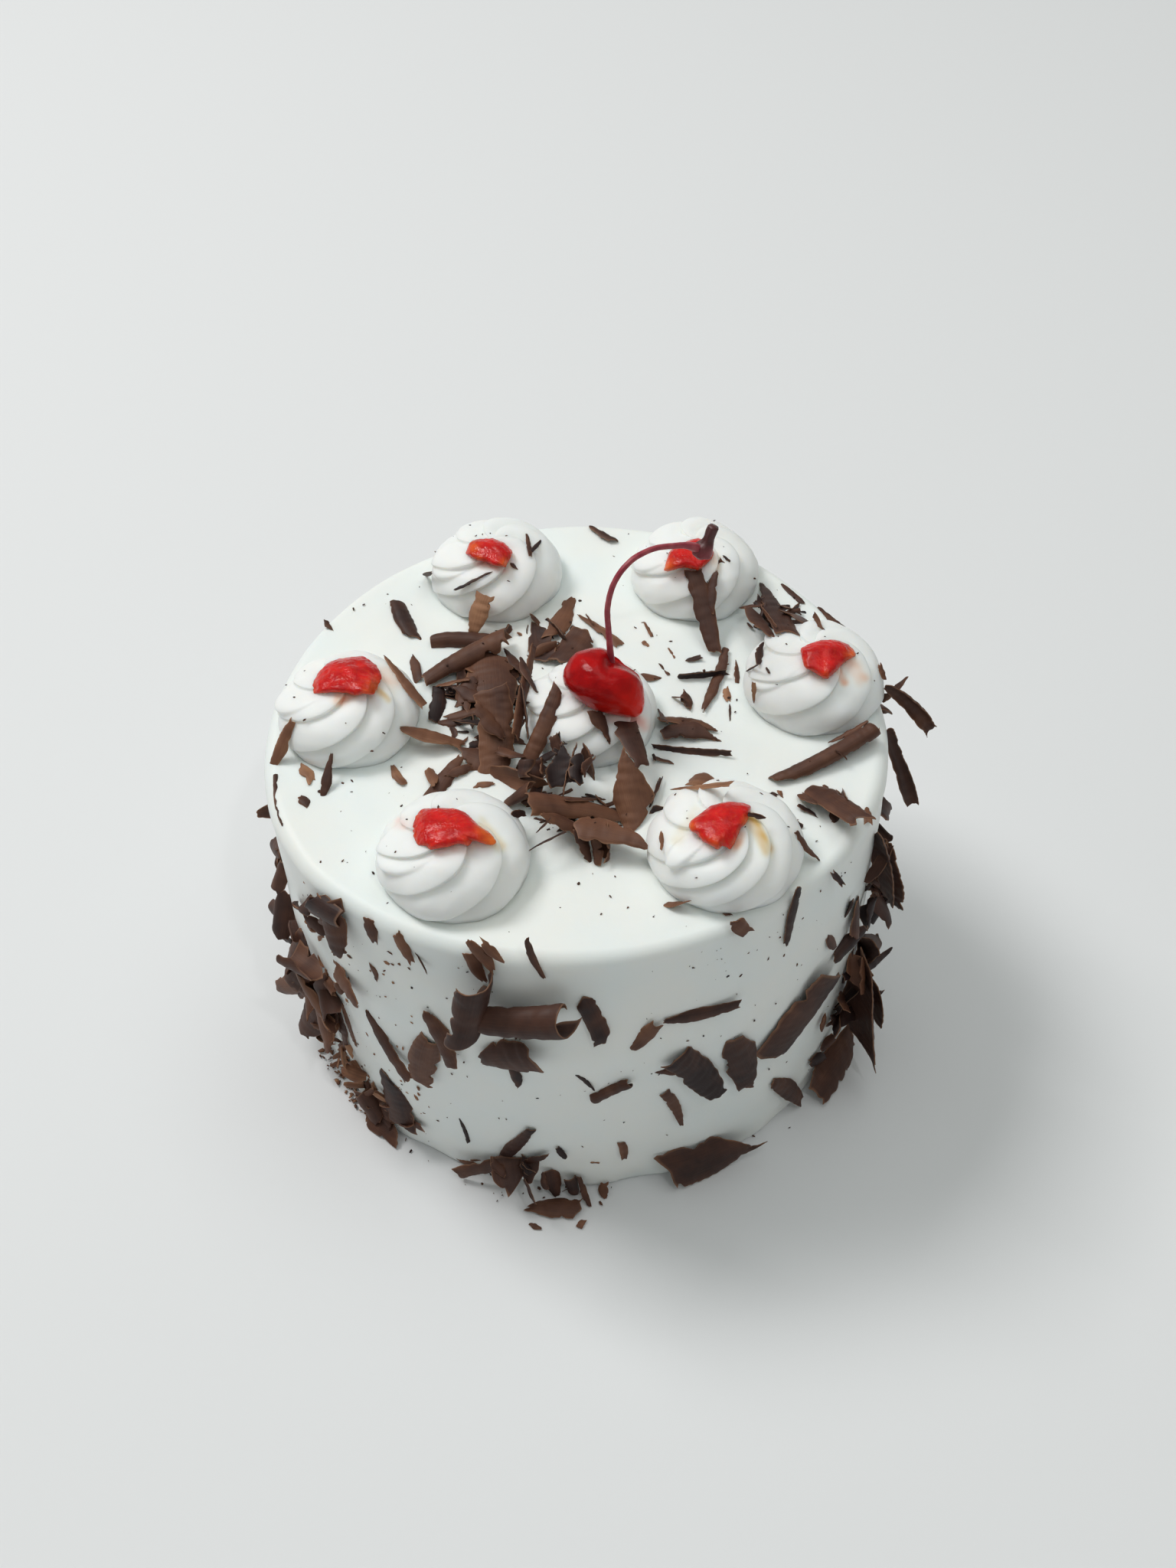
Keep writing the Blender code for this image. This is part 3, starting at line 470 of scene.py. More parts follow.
def swirl_points(centre, radius, height, crests, tail, seed):
    """A piped rosette. t runs from the foot to the crown along a dome, and the folds' columns wind
    by TWIST as t grows. Off its crest a fold sinks along the dome's normal, less on the calm side,
    and near the crest it leans over the next groove by LIP. Soft waves run over all of it. The
    tail stands out as a lobe with a sharp lower edge, and what hangs past the cake's rim droops."""
    rng = np.random.default_rng(seed)
    folds = len(crests)
    t = np.linspace(0, 1, SWIRL_ROWS, endpoint=False)[:, None]
    place = np.arange(SWIRL_COLUMNS)[None] / SWIRL_COLUMNS * folds
    lean = np.radians(DOME_FROM + (DOME_TO - DOME_FROM) * t)
    out = radius * np.maximum(np.cos(lean), 0) ** DOME_WIDE
    rise = FOOT_LIFT + (height - FOOT_LIFT) * np.sin(np.maximum(lean, 0)) ** DOME_HIGH
    rise = np.where(lean < 0, FOOT_LIFT * (1 - lean / math.radians(DOME_FROM)), rise)
    crest = fold_height(place % 1)
    angle = fold_angles(crests, place) + LIP * (crest**2 - 1) / folds * math.tau + TWIST * t
    varied = rng.uniform(*FOLDS_VARY, folds)
    depth = FOLD_DEPTH * (SHALLOW_ENDS + (1 - SHALLOW_ENDS) * np.sin(math.pi * t))
    depth = depth * np.minimum(1, out / (CROWN_SHARE * radius))
    depth = depth * np.interp(place, np.arange(folds + 1), np.append(varied, varied[0]))
    aside = (np.degrees(angle) - CALM_SIDE + 180) % 360 - 180
    depth = depth * (1 - CALM * np.exp(-((aside / CALM_REACH) ** 2)))
    sink = depth * (1 - crest)
    r = np.maximum(out - sink * np.cos(np.maximum(lean, 0)) * SINK_IN, POLE_HOLE)
    z = rise - sink * np.sin(np.maximum(lean, 0))
    at, share_up, bow, spread, reach = tail
    off = ((np.degrees(angle) - at + 180) % 360 - 180) / spread
    over = t - share_up - bow * off**2
    lobe = np.exp(-(off**2)) * sharp_step(over / LOBE_EDGE) * np.exp(-((over / LOBE_TALL) ** 2))
    r = r + reach * MM * lobe
    z = z + LOBE_LIFT * reach * MM * lobe - FOOT_SUNK * np.exp(-((t / FOOT_BAND) ** 2))
    points = np.stack([centre[0] + r * np.cos(angle), centre[1] + r * np.sin(angle), CAKE_H + z], -1)
    outward = np.stack([np.cos(angle), np.sin(angle), np.tan(lean) * OUT_TILT + angle * 0], -1)
    waves = sum(uneven(points, kind, seed + 200 * n) for n, kind in enumerate(SWIRL_WAVES))
    points = points + outward * (waves * (1 - t**4))[..., None]
    far = np.clip(np.hypot(points[..., 0], points[..., 1]) - (CAKE_R - RIM_ROUND), 0, RIM_ROUND)
    droop = (RIM_ROUND - np.sqrt(RIM_ROUND**2 - far**2)) * (1 - np.clip(z / height, 0, 1)) ** 2
    points[..., 2] -= droop
    foot = [*centre, CAKE_H - POLE_LOW]
    crown = [*centre, CAKE_H + height - POLE_HIGH]
    return np.concatenate([points.reshape(-1, 3), [foot, crown]])


def sight_frame(key):
    """The middle of the fruit on a rosette and three axes there: across and upward as one sees the
    cake from the front and above, and toward the onlooker."""
    middle = np.array(FRUIT[key]) * MM + [0, 0, CAKE_H]
    toward_eye = EYE - middle
    return middle, np.array([right, up, toward_eye / np.linalg.norm(toward_eye)])


def juice_values(points, key):
    """How much of each juice has soaked in at each point: a bell across the way from a streak's
    line, where the way is measured square to the line of sight, with a ragged strength along it."""
    middle, axes = sight_frame(key)
    seen = (points - middle) @ axes[:2].T / MM
    found = {juice: np.zeros(len(points)) for juice in JUICES}
    ragged = 1 + JUICE_RAGGED * ripple(points, JUICE_LONG, 300)
    for juice, a0, b0, a1, b1, spread, much in STREAKS[key]:
        start, along = np.array([a0, b0]), np.array([a1 - a0, b1 - b0])
        share = np.clip((seen - start) @ along / (along @ along), 0, 1)
        away = np.linalg.norm(seen - start - share[:, None] * along, axis=1) / spread
        found[juice] = np.maximum(found[juice], much * ragged * np.exp(-(away**JUICE_EDGE)))
    return {juice: np.clip(much, 0, 1) for juice, much in found.items()}


peak_cream, peak_tree, peak_shader, soaked = cream_material("rosette_cream", PEAK_COLOURS_PAINTED_LIGHTER, PEAK_SOFT)
for juice, tint in JUICES.items():
    soaked = tint_where(peak_tree, peak_shader, soaked, juice, tint)

for number, (key, (shift, crests, tail)) in enumerate(SWIRLS.items()):
    low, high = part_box("rosette_" + key)
    middle, wide = (low + high) / 2, high - low
    centre = (middle.x + shift[0] * MM, middle.y + shift[1] * MM)
    tall = CENTRE_TALL if key == "centre" else SWIRL_TALL
    points = swirl_points(centre, (wide.x + wide.y) / 4, tall, crests, tail, 20 + number)
    piece(
        "rosette_cream_" + key,
        points,
        closed_faces(SWIRL_ROWS, SWIRL_COLUMNS),
        peak_cream,
        ["rosette_" + key],
        juice_values(points, key),
    )

# The pieces of cherry
# Glace cherries cut up and pressed skin side up into the crown of each outer rosette. The syrup
# leaves them glossy and clear, and their torn edges thin out to orange.
SYRUP_REDS, SYRUP_AMBER = ((0.70, 0.017, 0.016, 1.0), (0.50, 0.010, 0.012, 1.0)), (0.90, 0.20, 0.035, 1.0)
SYRUP_SOAK, SYRUP_SCALES = (0.35, (1.0, 0.12, 0.06), 2.0 * MM), (260, 1500)
# Shine, roughness, and the distance and strength of the bump
PIECE_FINISH = (0.25, 0.13, (0.8 * MM, 0.6))
FRUIT_ROWS, FRUIT_COLUMNS = 74, 220
CORNER_WEIGHTS = (0.1, 0.22, 0.36, 0.22, 0.1)
PIECE_THICK, PIECE_BEHIND, PIECE_STEEP, PIECE_PROUD = 3.6, 2.4, 0.5, 0.5
# Beyond what distance a piece gets thinner, over how far and by what share
THIN_FROM, THIN_OVER, THINNER = 7.0, 4.0, 0.62
# Depth and length of the dents, the ragged edge and the amber's mottle
DENTS, RAGGED_EDGE = ((0.30, 6.5), (0.10, 2.4)), (0.012, 1.6)
EDGE_AMBER, EDGE_POWER, AMBER_MOTTLE = 0.28, 9, (0.06, 1.4)
MAP_HALF, MAP_EMPTY, MAP_SMOOTHINGS = 24, -9.0, 3
# Name: the outline as seen from the front, in mm right of and above its middle, then the amber
# spots: place, reach and strength
PIECES = {
    "front_left": (
        (
            (-9.9, 0.5), (-9.0, 3.0), (-7.5, 4.8), (-2.4, 5.0), (1.3, 4.9), (4.1, 3.8), (6.0, 1.9),
            (7.6, 0.3), (10.6, -1.6), (12.5, -4.2), (10.6, -5.0), (7.7, -4.1), (6.0, -3.4),
            (5.0, -5.0), (2.3, -4.4), (-1.2, -5.4), (-5.4, -6.1), (-6.1, -5.1), (-8.5, -4.8),
            (-9.5, -3.0),
        ),
        ((12.3, -4.0, 4.2, 1.0), (9.0, -0.8, 2.2, 0.7), (-9.6, 3.4, 1.8, 0.3), (4.4, -4.4, 1.6, 0.3)),
    ),
    "front_right": (
        (
            (-8.6, -0.8), (-8.1, 0.7), (-5.4, 2.8), (-2.7, 4.8), (0.3, 5.7), (3.4, 5.9), (6.1, 5.5),
            (8.1, 4.6), (7.4, 2.4), (6.7, 0.1), (5.2, -1.1), (4.4, -3.0), (3.7, -4.7), (2.4, -6.8),
            (1.3, -6.0), (0.3, -5.8), (-0.8, -6.8), (-2.0, -6.0), (-3.4, -5.3), (-5.1, -4.3),
            (-6.4, -2.5), (-8.0, -2.0),
        ),
        ((-8.2, -0.6, 1.6, 0.6), (-2.0, -5.6, 2.4, 0.35), (6.8, 0.6, 1.4, 0.6), (3.6, -5.0, 1.4, 0.4)),
    ),
    "right": (
        (
            (-8.4, 2.5), (-5.4, 4.1), (-2.2, 5.0), (0.4, 5.1), (3.0, 4.7), (5.2, 3.8), (6.7, 2.5),
            (7.8, 0.6), (4.8, -1.0), (3.7, -2.0), (1.9, -4.0), (-0.6, -6.1), (-1.9, -5.9),
            (-3.7, -4.7), (-5.2, -3.8), (-7.0, -3.1), (-7.6, -1.4), (-8.1, 0.4),
        ),
        ((6.8, 0.8, 2.0, 0.7), (-1.0, -5.6, 1.8, 0.3)),
    ),
    "back_right": (
        (
            (-8.5, -5.5), (-7.6, -2.3), (-6.8, 0.3), (-5.0, 1.9), (-3.0, 2.9), (0.3, 4.3), (2.0, 4.6),
            (4.3, 3.8), (7.0, 0.3), (6.6, -0.9), (5.7, -2.4), (3.7, -4.1), (2.0, -5.2), (0.0, -4.7),
            (-2.0, -4.4), (-4.6, -4.9), (-6.6, -5.5),
        ),
        ((-7.6, -4.4, 2.4, 0.7),),
    ),
    "back_left": (
        (
            (-6.9, -0.5), (-5.7, 2.9), (-4.8, 3.6), (-3.1, 4.0), (-0.7, 4.2), (1.5, 4.2), (3.4, 3.4),
            (4.8, 2.9), (6.2, 1.6), (7.5, 0.0), (7.0, -1.7), (5.9, -3.3), (5.2, -4.9), (4.3, -4.4),
            (2.9, -4.3), (1.3, -4.0), (-0.7, -3.1), (-3.4, -2.5), (-5.3, -1.6),
        ),
        ((-4.6, 1.4, 1.8, 0.5), (5.0, -3.4, 1.6, 0.6), (-3.0, -2.0, 1.4, 0.4)),
    ),
    "left": (
        (
            (-9.4, -2.1), (-8.9, -0.6), (-7.6, 1.6), (-5.2, 4.2), (-1.9, 5.5), (1.9, 6.1), (5.5, 6.3),
            (7.8, 4.6), (9.2, 3.3), (10.3, 1.3), (10.5, -0.6), (9.4, -1.7), (9.2, -3.2), (7.9, -4.8),
            (5.2, -4.5), (3.0, -5.0), (0.4, -4.3), (-3.3, -4.1), (-6.3, -4.3), (-8.9, -4.6),
        ),
        ((8.6, -2.6, 2.6, 0.5), (6.0, -4.2, 1.6, 0.4)),
    ),
}


def outline_reach(outline, turn):
    """How far the outline lies from its middle along each turn: where the ray meets the straight
    line between two neighbouring points, taken as a mean over five columns to round the corners."""
    known = np.array(outline, float)
    angle = np.arctan2(known[:, 1], known[:, 0]) % math.tau
    order = np.argsort(angle)
    known, angle = known[order], angle[order]
    after = np.searchsorted(angle, turn % math.tau) % len(known)
    first, second = known[after - 1], known[after]
    side = second - first
    reach = first[:, 0] * side[:, 1] - first[:, 1] * side[:, 0]
    reach = reach / (np.cos(turn) * side[:, 1] - np.sin(turn) * side[:, 0])
    return sum(weight * np.roll(reach, step) for step, weight in zip(range(-2, 3), CORNER_WEIGHTS))


def fruit_body(outline, thick, behind, steep):
    """A soft body with a known outline. Its grid's columns go round the line of sight, and w goes
    from -90 degrees behind to 90 in front: a point lies reach * cos(w)^steep out from the line, and
    thick * sin(w) in front of the middle or behind * sin(w) behind it. Returns the three distances
    in mm as columns, and each point's share of the reach, with the two poles last."""
    turn = np.linspace(0, math.tau, FRUIT_COLUMNS, endpoint=False)
    w = np.linspace(-math.pi / 2, math.pi / 2, FRUIT_ROWS + 2)[1:-1, None]
    share = np.cos(w) ** steep + 0 * turn
    reach = outline_reach(outline, turn)
    deep = np.where(w > 0, thick, behind) * np.sin(w) + 0 * turn
    body = np.stack([share * reach * np.cos(turn), share * reach * np.sin(turn), deep], -1).reshape(-1, 3)
    body = np.concatenate([body, [[0, 0, -behind], [0, 0, thick]]])
    return body, np.concatenate([share.ravel(), [0, 0]])


def cream_points(key):
    """The points of a rosette's mesh."""
    mesh = bpy.data.objects["rosette_cream_" + key].data
    points = np.empty(len(mesh.vertices) * 3)
    mesh.vertices.foreach_get("co", points)
    return points.reshape(-1, 3)


def cream_under(key, body):
    """How far in front of the fruit's middle the cream of its rosette stands, in mm, behind each
    point of a body: the nearest cream in cells of a millimetre along the sight line, smoothed."""
    middle, axes = sight_frame(key)
    cream = (cream_points(key) - middle) @ axes.T / MM
    cream = cream[np.abs(cream[:, :2]).max(axis=1) < MAP_HALF - 0.5]
    field = np.full((2 * MAP_HALF, 2 * MAP_HALF), MAP_EMPTY)
    place = (cream[:, :2] + MAP_HALF).astype(int)
    np.maximum.at(field, (place[:, 0], place[:, 1]), cream[:, 2])
    for _ in range(MAP_SMOOTHINGS):
        for axis in (0, 1):
            field = sum(np.roll(field, step, axis=axis) for step in (-1, 0, 1)) / 3
    spot = np.clip(body[:, :2] + MAP_HALF - 0.5, 0, 2 * MAP_HALF - 1.1)
    i, j = spot.astype(int).T
    p, q = (spot % 1).T
    near = field[i, j] * (1 - p) + field[i + 1, j] * p
    far = field[i, j + 1] * (1 - p) + field[i + 1, j + 1] * p
    return near * (1 - q) + far * q


def cut_cherry(key, seed):
    """A body with the piece's outline, laid on the cream. It gets thinner far from its middle, its
    skin is gently dented, and the value returned is how amber and thin it is."""
    outline, amber = PIECES[key]
    body, share = fruit_body(outline, PIECE_THICK, PIECE_BEHIND, PIECE_STEEP)
    body[:, 2] *= 1 - THINNER * soft_step((np.hypot(body[:, 0], body[:, 1]) - THIN_FROM) / THIN_OVER)
    body[:, 2] += cream_under(key, body) + PIECE_PROUD
    body[:, 2] += sum(uneven(body, kind, seed + 50 * n) for n, kind in enumerate(DENTS))
    body[:, :2] *= 1 + uneven(body, RAGGED_EDGE, seed + 90)[:, None]
    thin = EDGE_AMBER * share**EDGE_POWER * np.clip(0.5 - body[:, 1] / 6, 0, 1)
    for a, b, reach, strength in amber:
        away = (body[:, 0] - a) ** 2 + (body[:, 1] - b) ** 2
        thin = np.maximum(thin, strength * np.exp(-away / reach**2))
    middle, axes = sight_frame(key)
    return body * MM @ axes + middle, np.clip(thin + uneven(body, AMBER_MOTTLE, seed + 7), 0, 1)


def syrup_material(name, colours, amber, shine, roughness, bump):
    """Cherry flesh full of syrup: clear and deep red, amber where its value is high: thin flesh on the
    pieces, and painted light on the whole cherry's lower right.
    """
    made, tree, shader = plain_material(name, colours[0], roughness)
    soften(shader, *SYRUP_SOAK, shine)
    tint_where(tree, shader, add_mottle(tree, shader, colours, SYRUP_SCALES, bump), "thin", amber)
    return made


piece_red = syrup_material("cherry_piece_syrup", SYRUP_REDS, SYRUP_AMBER, *PIECE_FINISH)
for number, key in enumerate(PIECES):
    points, thin = cut_cherry(key, 40 + number)
    piece(
        "cherry_cut_" + key,
        points,
        closed_faces(FRUIT_ROWS, FRUIT_COLUMNS),
        piece_red,
        ["cherry_piece_" + key],
        {"thin": thin},
    )

# The whole cherry
# A maraschino cherry set on the middle rosette, pulled out of its jar by the stem. It is drawn out
# toward its lower right, and past the stem a crease parts a smaller lobe behind from the front one.
# Its two reds, and the tip colour: the colour of the light painted on its lower right as seen
JAR_REDS, JAR_PAINTED_LIGHT_TIP = ((0.46, 0.007, 0.008, 1.0), (0.33, 0.005, 0.007, 1.0)), (0.80, 0.022, 0.012, 1.0)
JAR_FINISH = (0.15, 0.10, (0.45 * MM, 0.6))
CHERRY_OUTLINE = (
    (-11.6, 3.9), (-9.9, 7.0), (-7.9, 8.9), (-4.2, 9.9), (-1.4, 10.1), (0.6, 9.5), (2.2, 7.9),
    (3.9, 6.9), (5.4, 5.3), (7.7, 3.9), (9.5, 2.4),
    (10.6, 0.0), (11.1, -2.3), (11.2, -6.0), (10.5, -8.4), (8.9, -9.6), (6.5, -9.6), (1.1, -8.7),
    (-2.7, -7.7),
    (-5.4, -6.3), (-7.9, -4.5), (-9.8, -2.6), (-11.5, -0.4), (-11.9, 1.8),
)
CHERRY_THICK, CHERRY_BEHIND = 10.4, 10.2
CHERRY_DENTS, TIP_MOTTLE = ((0.16, 9.0), (0.05, 2.6)), (0.05, 4.0)
# The paler tip is painted light, paler and more orange toward the lower right as seen: its way
# right and up, where it starts and how far on it is full, in mm
TIP_WAY, TIP_FROM, TIP_OVER, TIP_POWER = (0.55, -0.85), 1.0, 12.5, 1.2
# Dimple: place and reach in mm, depth. Crease: where it starts, its height there, its bow, depth
DIMPLE, CREASE = (2.0, 5.4, 2.6, 2.6), (1.0, 4.75, 0.045, 1.9)
CREASE_EDGE, CREASE_END = 0.16, 0.4


def whole_cherry():
    """A full round body with the cherry's outline. The dimple is a bell pushed back from the
    onlooker where the stem goes in. Above the line of the crease the body stands back by a step."""
    body, _ = fruit_body(CHERRY_OUTLINE, CHERRY_THICK, CHERRY_BEHIND, 1.0)
    a, b, front = body[:, 0], body[:, 1], np.clip(body[:, 2] / 3, 0, 1)
    x, y, reach, depth = DIMPLE
    back = depth * np.exp(-((a - x) ** 2 + (b - y) ** 2) / reach**2)
    x, y, bow, depth = CREASE
    over = b - (y - bow * (a - x) ** 2)
    back += depth * sharp_step(over / CREASE_EDGE) * sharp_step((a - x) / CREASE_END)
    body[:, 2] -= back * front
    body[:, 2] += sum(uneven(body, kind, 70 + n) for n, kind in enumerate(CHERRY_DENTS))
    # The tip value is painted light: it grows toward the lower right as seen and makes the skin paler
    # there
    tip = np.clip((body[:, :2] @ TIP_WAY - TIP_FROM) / TIP_OVER, 0, 1) ** TIP_POWER
    middle, axes = sight_frame("centre")
    return body * MM @ axes + middle, np.clip(tip + uneven(body, TIP_MOTTLE, 72), 0, 1)


points, tip = whole_cherry()
piece(
    "cherry_whole",
    points,
    closed_faces(FRUIT_ROWS, FRUIT_COLUMNS),
    syrup_material("cherry_whole_syrup", JAR_REDS, JAR_PAINTED_LIGHT_TIP, *JAR_FINISH),
    ["cherry"],
    {"thin": tip},
)

# The stem
# The cherry's own stalk, dyed a dusty crimson by the jar's colour. It rises out of the dimple,
# arches over to the right and ends in a knob with the stub of the twig it grew on.
# Routes as x and y in mm, height over the cake's top and radius
STALK_ROUTE = (
    (11.6, 0.7, 17.0, 1.5), (11.3, 1.1, 21.5, 1.15), (11.0, 1.6, 27.0, 0.95), (10.7, 2.2, 33.8, 0.85),
    (10.5, 3.2, 41.0, 0.82), (11.8, 4.4, 47.5, 0.8), (14.2, 5.6, 52.2, 0.8), (17.6, 8.0, 54.5, 0.8),
    (21.3, 11.0, 54.5, 0.8), (24.9, 13.5, 53.7, 0.8), (29.3, 16.5, 51.5, 0.85), (32.7, 19.0, 49.4, 0.95),
    (35.6, 20.8, 47.0, 1.3), (37.9, 21.8, 45.0, 1.2),
)
STUB_ROUTE = (
    (36.9, 21.4, 42.6, 1.0), (37.3, 21.6, 43.8, 2.5), (37.9, 21.8, 45.2, 2.8), (38.9, 22.3, 47.0, 2.1),
    (39.6, 22.7, 48.9, 1.6), (40.7, 23.2, 52.2, 1.6),
)
STALK_REDS, STUB_BROWN = ((0.29, 0.028, 0.050, 1.0), (0.40, 0.075, 0.09, 1.0)), (0.085, 0.026, 0.026, 1.0)
STALK_ROUGHNESS, STALK_SHINE, STALK_SCALES, STALK_BUMP = 0.42, 0.4, (320, 2200), (0.3 * MM, 0.7)
STALK_RINGS, STUB_RINGS, STALK_SIDES = 150, 40, 24
RIBS, RIB_DEPTH, LUMP_LONG, END_BULGE = 5, 0.05, 2.6 * MM, 0.3 * MM
STALK_LUMPS, STUB_LUMPS, ACROSS = 0.03, 0.10, (0.55, -0.83, 0.0)
# The stub is partly wood at its foot, and all wood past a height over the top, over a short way
WOOD_LEAST, WOOD_FROM, WOOD_OVER = 0.45, 45.5 * MM, 2.5 * MM


def smooth_route(points, count):
    """Catmull-Rom curve through the points, read at evenly spaced shares of its spans."""
    known = np.array([points[0], *points, points[-1]], float)
    shares = np.linspace(0, len(points) - 1, count)
    span = np.minimum(shares.astype(int), len(points) - 2)
    u = (shares - span)[:, None]
    a, b, c, d = (known[span + k] for k in range(4))
    bend, twist = 2 * a - 5 * b + 4 * c - d, 3 * b - a - 3 * c + d
    return 0.5 * (2 * b + (c - a) * u + bend * u**2 + twist * u**3)


def swept(route, rings, lumpy, seed):
    """A round section swept along a route that also gives its radius, with faint ribs along it and
    lumps of a share of the radius. Its two poles close the ends."""
    line = smooth_route(route, rings) * MM
    path, radius = line[:, :3], line[:, 3]
    ahead = np.gradient(path, axis=0)
    ahead /= np.linalg.norm(ahead, axis=1, keepdims=True)
    side = np.cross(ahead, ACROSS)
    side /= np.linalg.norm(side, axis=1, keepdims=True)
    over = np.cross(ahead, side)
    turn = np.linspace(0, math.tau, STALK_SIDES, endpoint=False)
    around = side[:, None] * np.cos(turn)[:, None] + over[:, None] * np.sin(turn)[:, None]
    place = path[:, None] + radius[:, None, None] * around
    ribs = RIB_DEPTH * np.cos(RIBS * turn)[None]
    size = radius[:, None] * (1 + ribs + lumpy * ripple(place, LUMP_LONG, seed))
    points = path[:, None] + size[..., None] * around
    ends = path[[0, -1]] + ahead[[0, -1]] * [[-END_BULGE], [END_BULGE]]
    return np.concatenate([points.reshape(-1, 3), ends]) + [0, 0, CAKE_H]


def stalk_material():
    """Dusty crimson skin with paler streaks, brown where its value says it is wood."""
    made, tree, shader = plain_material("stalk", STALK_REDS[0], STALK_ROUGHNESS)
    shader.inputs["Specular IOR Level"].default_value = STALK_SHINE
    red = add_mottle(tree, shader, STALK_REDS, STALK_SCALES, STALK_BUMP)
    tint_where(tree, shader, red, "woody", STUB_BROWN)
    return made


stalk = swept(STALK_ROUTE, STALK_RINGS, STALK_LUMPS, 80)
stub = swept(STUB_ROUTE, STUB_RINGS, STUB_LUMPS, 81)
wood = WOOD_LEAST + (1 - WOOD_LEAST) * (stub[:, 2] - CAKE_H - WOOD_FROM) / WOOD_OVER
stub_wood = np.clip(wood, WOOD_LEAST, 1)
stalk_faces = closed_faces(STALK_RINGS, STALK_SIDES)
stub_faces = [[corner + len(stalk) for corner in face] for face in closed_faces(STUB_RINGS, STALK_SIDES)]
piece(
    "cherry_stalk",
    np.concatenate([stalk, stub]),
    stalk_faces + stub_faces,
    stalk_material(),
    ["cherry_stem"],
    {"woody": np.concatenate([np.zeros(len(stalk)), stub_wood])},
)

# The chocolate shavings
# Plain chocolate scraped off a block: thin brittle sheets that roll up behind the scraper, with
# fine scrape lines along them and torn ends. Their edges are tan, partly from thin chocolate and
# partly a painted highlight where they catch the light. They lie where they fell on the soft cream,
# one across the other.
# The tone ramp is partly the chocolate's own browns and partly painted light and shade: its darkest stop
# stands in for shavings in shade and LIT for lit ones
DARK_AND_SHADED, BROWN = (0.024, 0.013, 0.013, 1.0), (0.082, 0.034, 0.022, 1.0)
LIT, TAN = (0.180, 0.078, 0.043, 1.0), (0.37, 0.19, 0.105, 1.0)
TONE_STOPS = ((0.17, DARK_AND_SHADED), (0.45, BROWN), (0.74, LIT), (1.0, TAN))
CHOCOLATE_ROUGHNESS, CHOCOLATE_SHINE, CHOCOLATE_BUMP = 0.55, 0.28, (0.11 * MM, 0.6)
# Scrape lines and bloom: scale, detail and how much of each goes into the tone
LINES_STRETCH, LINES_DETAIL, LINES_MUCH = (90.0, 2500.0, 1.0), 3.0, 0.17
BLOOM_SCALE, BLOOM_DETAIL, BLOOM_MUCH = 260.0, 4.0, 0.25
# Tan along the edges is partly thin chocolate and partly a painted highlight: the edge nearness it starts
# from, and its strength
EDGE_FROM, EDGE_MUCH = 0.90, 0.8
SHEET, THIN_SHEET = 0.85 * MM, 0.3
GRID_STEP_LONG, GRID_STEP_WIDE, LEAST_ROLL = 0.6 * MM, 0.5 * MM, 12
# How a sheet wanders: its narrowing, its sides, its torn ends, its curl, its bow and its buckles
NARROW_REACH, NARROW_POWER, NARROW_ASIDE = (0.35, 0.75), 0.85, 0.45
SIDE_BROAD, SIDE_FINE, BREAK_BROAD, BREAK_FINE = 0.09, 0.025, 0.9, 0.4
TORN_OF_WIDTH, TORN_OF_LENGTH, TORN_MOST, SLANT = 0.24, 0.16, 2.0 * MM, 0.4
ROLL_OPENS, ROLL_SKEW, SPIN = 0.25, 0.8, 0.35
BOW_ACROSS, BOW_UP = (-0.05, 0.05), (-0.015, 0.04)
BUCKLES = ((0.12 * MM, 4.2 * MM), (0.05 * MM, 1.5 * MM))
TONE_ALONG, TONE_ACROSS, TONE_THIN, TONE_SHIFT = 0.09, 0.07, 0.12, (-0.11, 0.07)
# The bites: where along an edge, their reach as a share of it and their depth
BITE_AT, BITE_REACH, BITE_DEPTH = (0.05, 0.95), (0.03, 0.10), (0.06, 0.22)
# How they come to rest: how deep they sink and what share of one does, how height hides distance
# to the onlooker, the height map's cell and half width, and a tilt's limit and its bins
SUNK_IN_CREAM, SUNK_IN_CHIP, YIELD = 0.35 * MM, 0.25 * MM, 0.04
SIGHT_SLOPE = 0.96
CELL, FIELD_HALF = 0.5 * MM, 0.115
FIELD_CELLS = int(2 * FIELD_HALF / CELL)
STEEPEST, BINS, PRESSES, TRIES = 0.5, 16, 6, 8
CRISP = 50
UPWARD = np.array([0.0, 0.0, 1.0])


def wander(rng, count, knots):
    """A random line from about -1 to 1, straight between its knots."""
    return np.interp(np.linspace(0, 1, count), np.linspace(0, 1, knots), rng.uniform(-1, 1, knots))


def chipped(rng, count):
    """Depth of the bites out of an edge: up to three triangles at random places along it."""
    share = np.linspace(0, 1, count)
    depths = []
    for _ in range(rng.integers(1, 4)):
        at, reach, depth = rng.uniform(*BITE_AT), rng.uniform(*BITE_REACH), rng.uniform(*BITE_DEPTH)
        depths.append(depth * np.clip(1 - np.abs(share - at) / reach, 0, 1))
    return np.max(depths, axis=0)


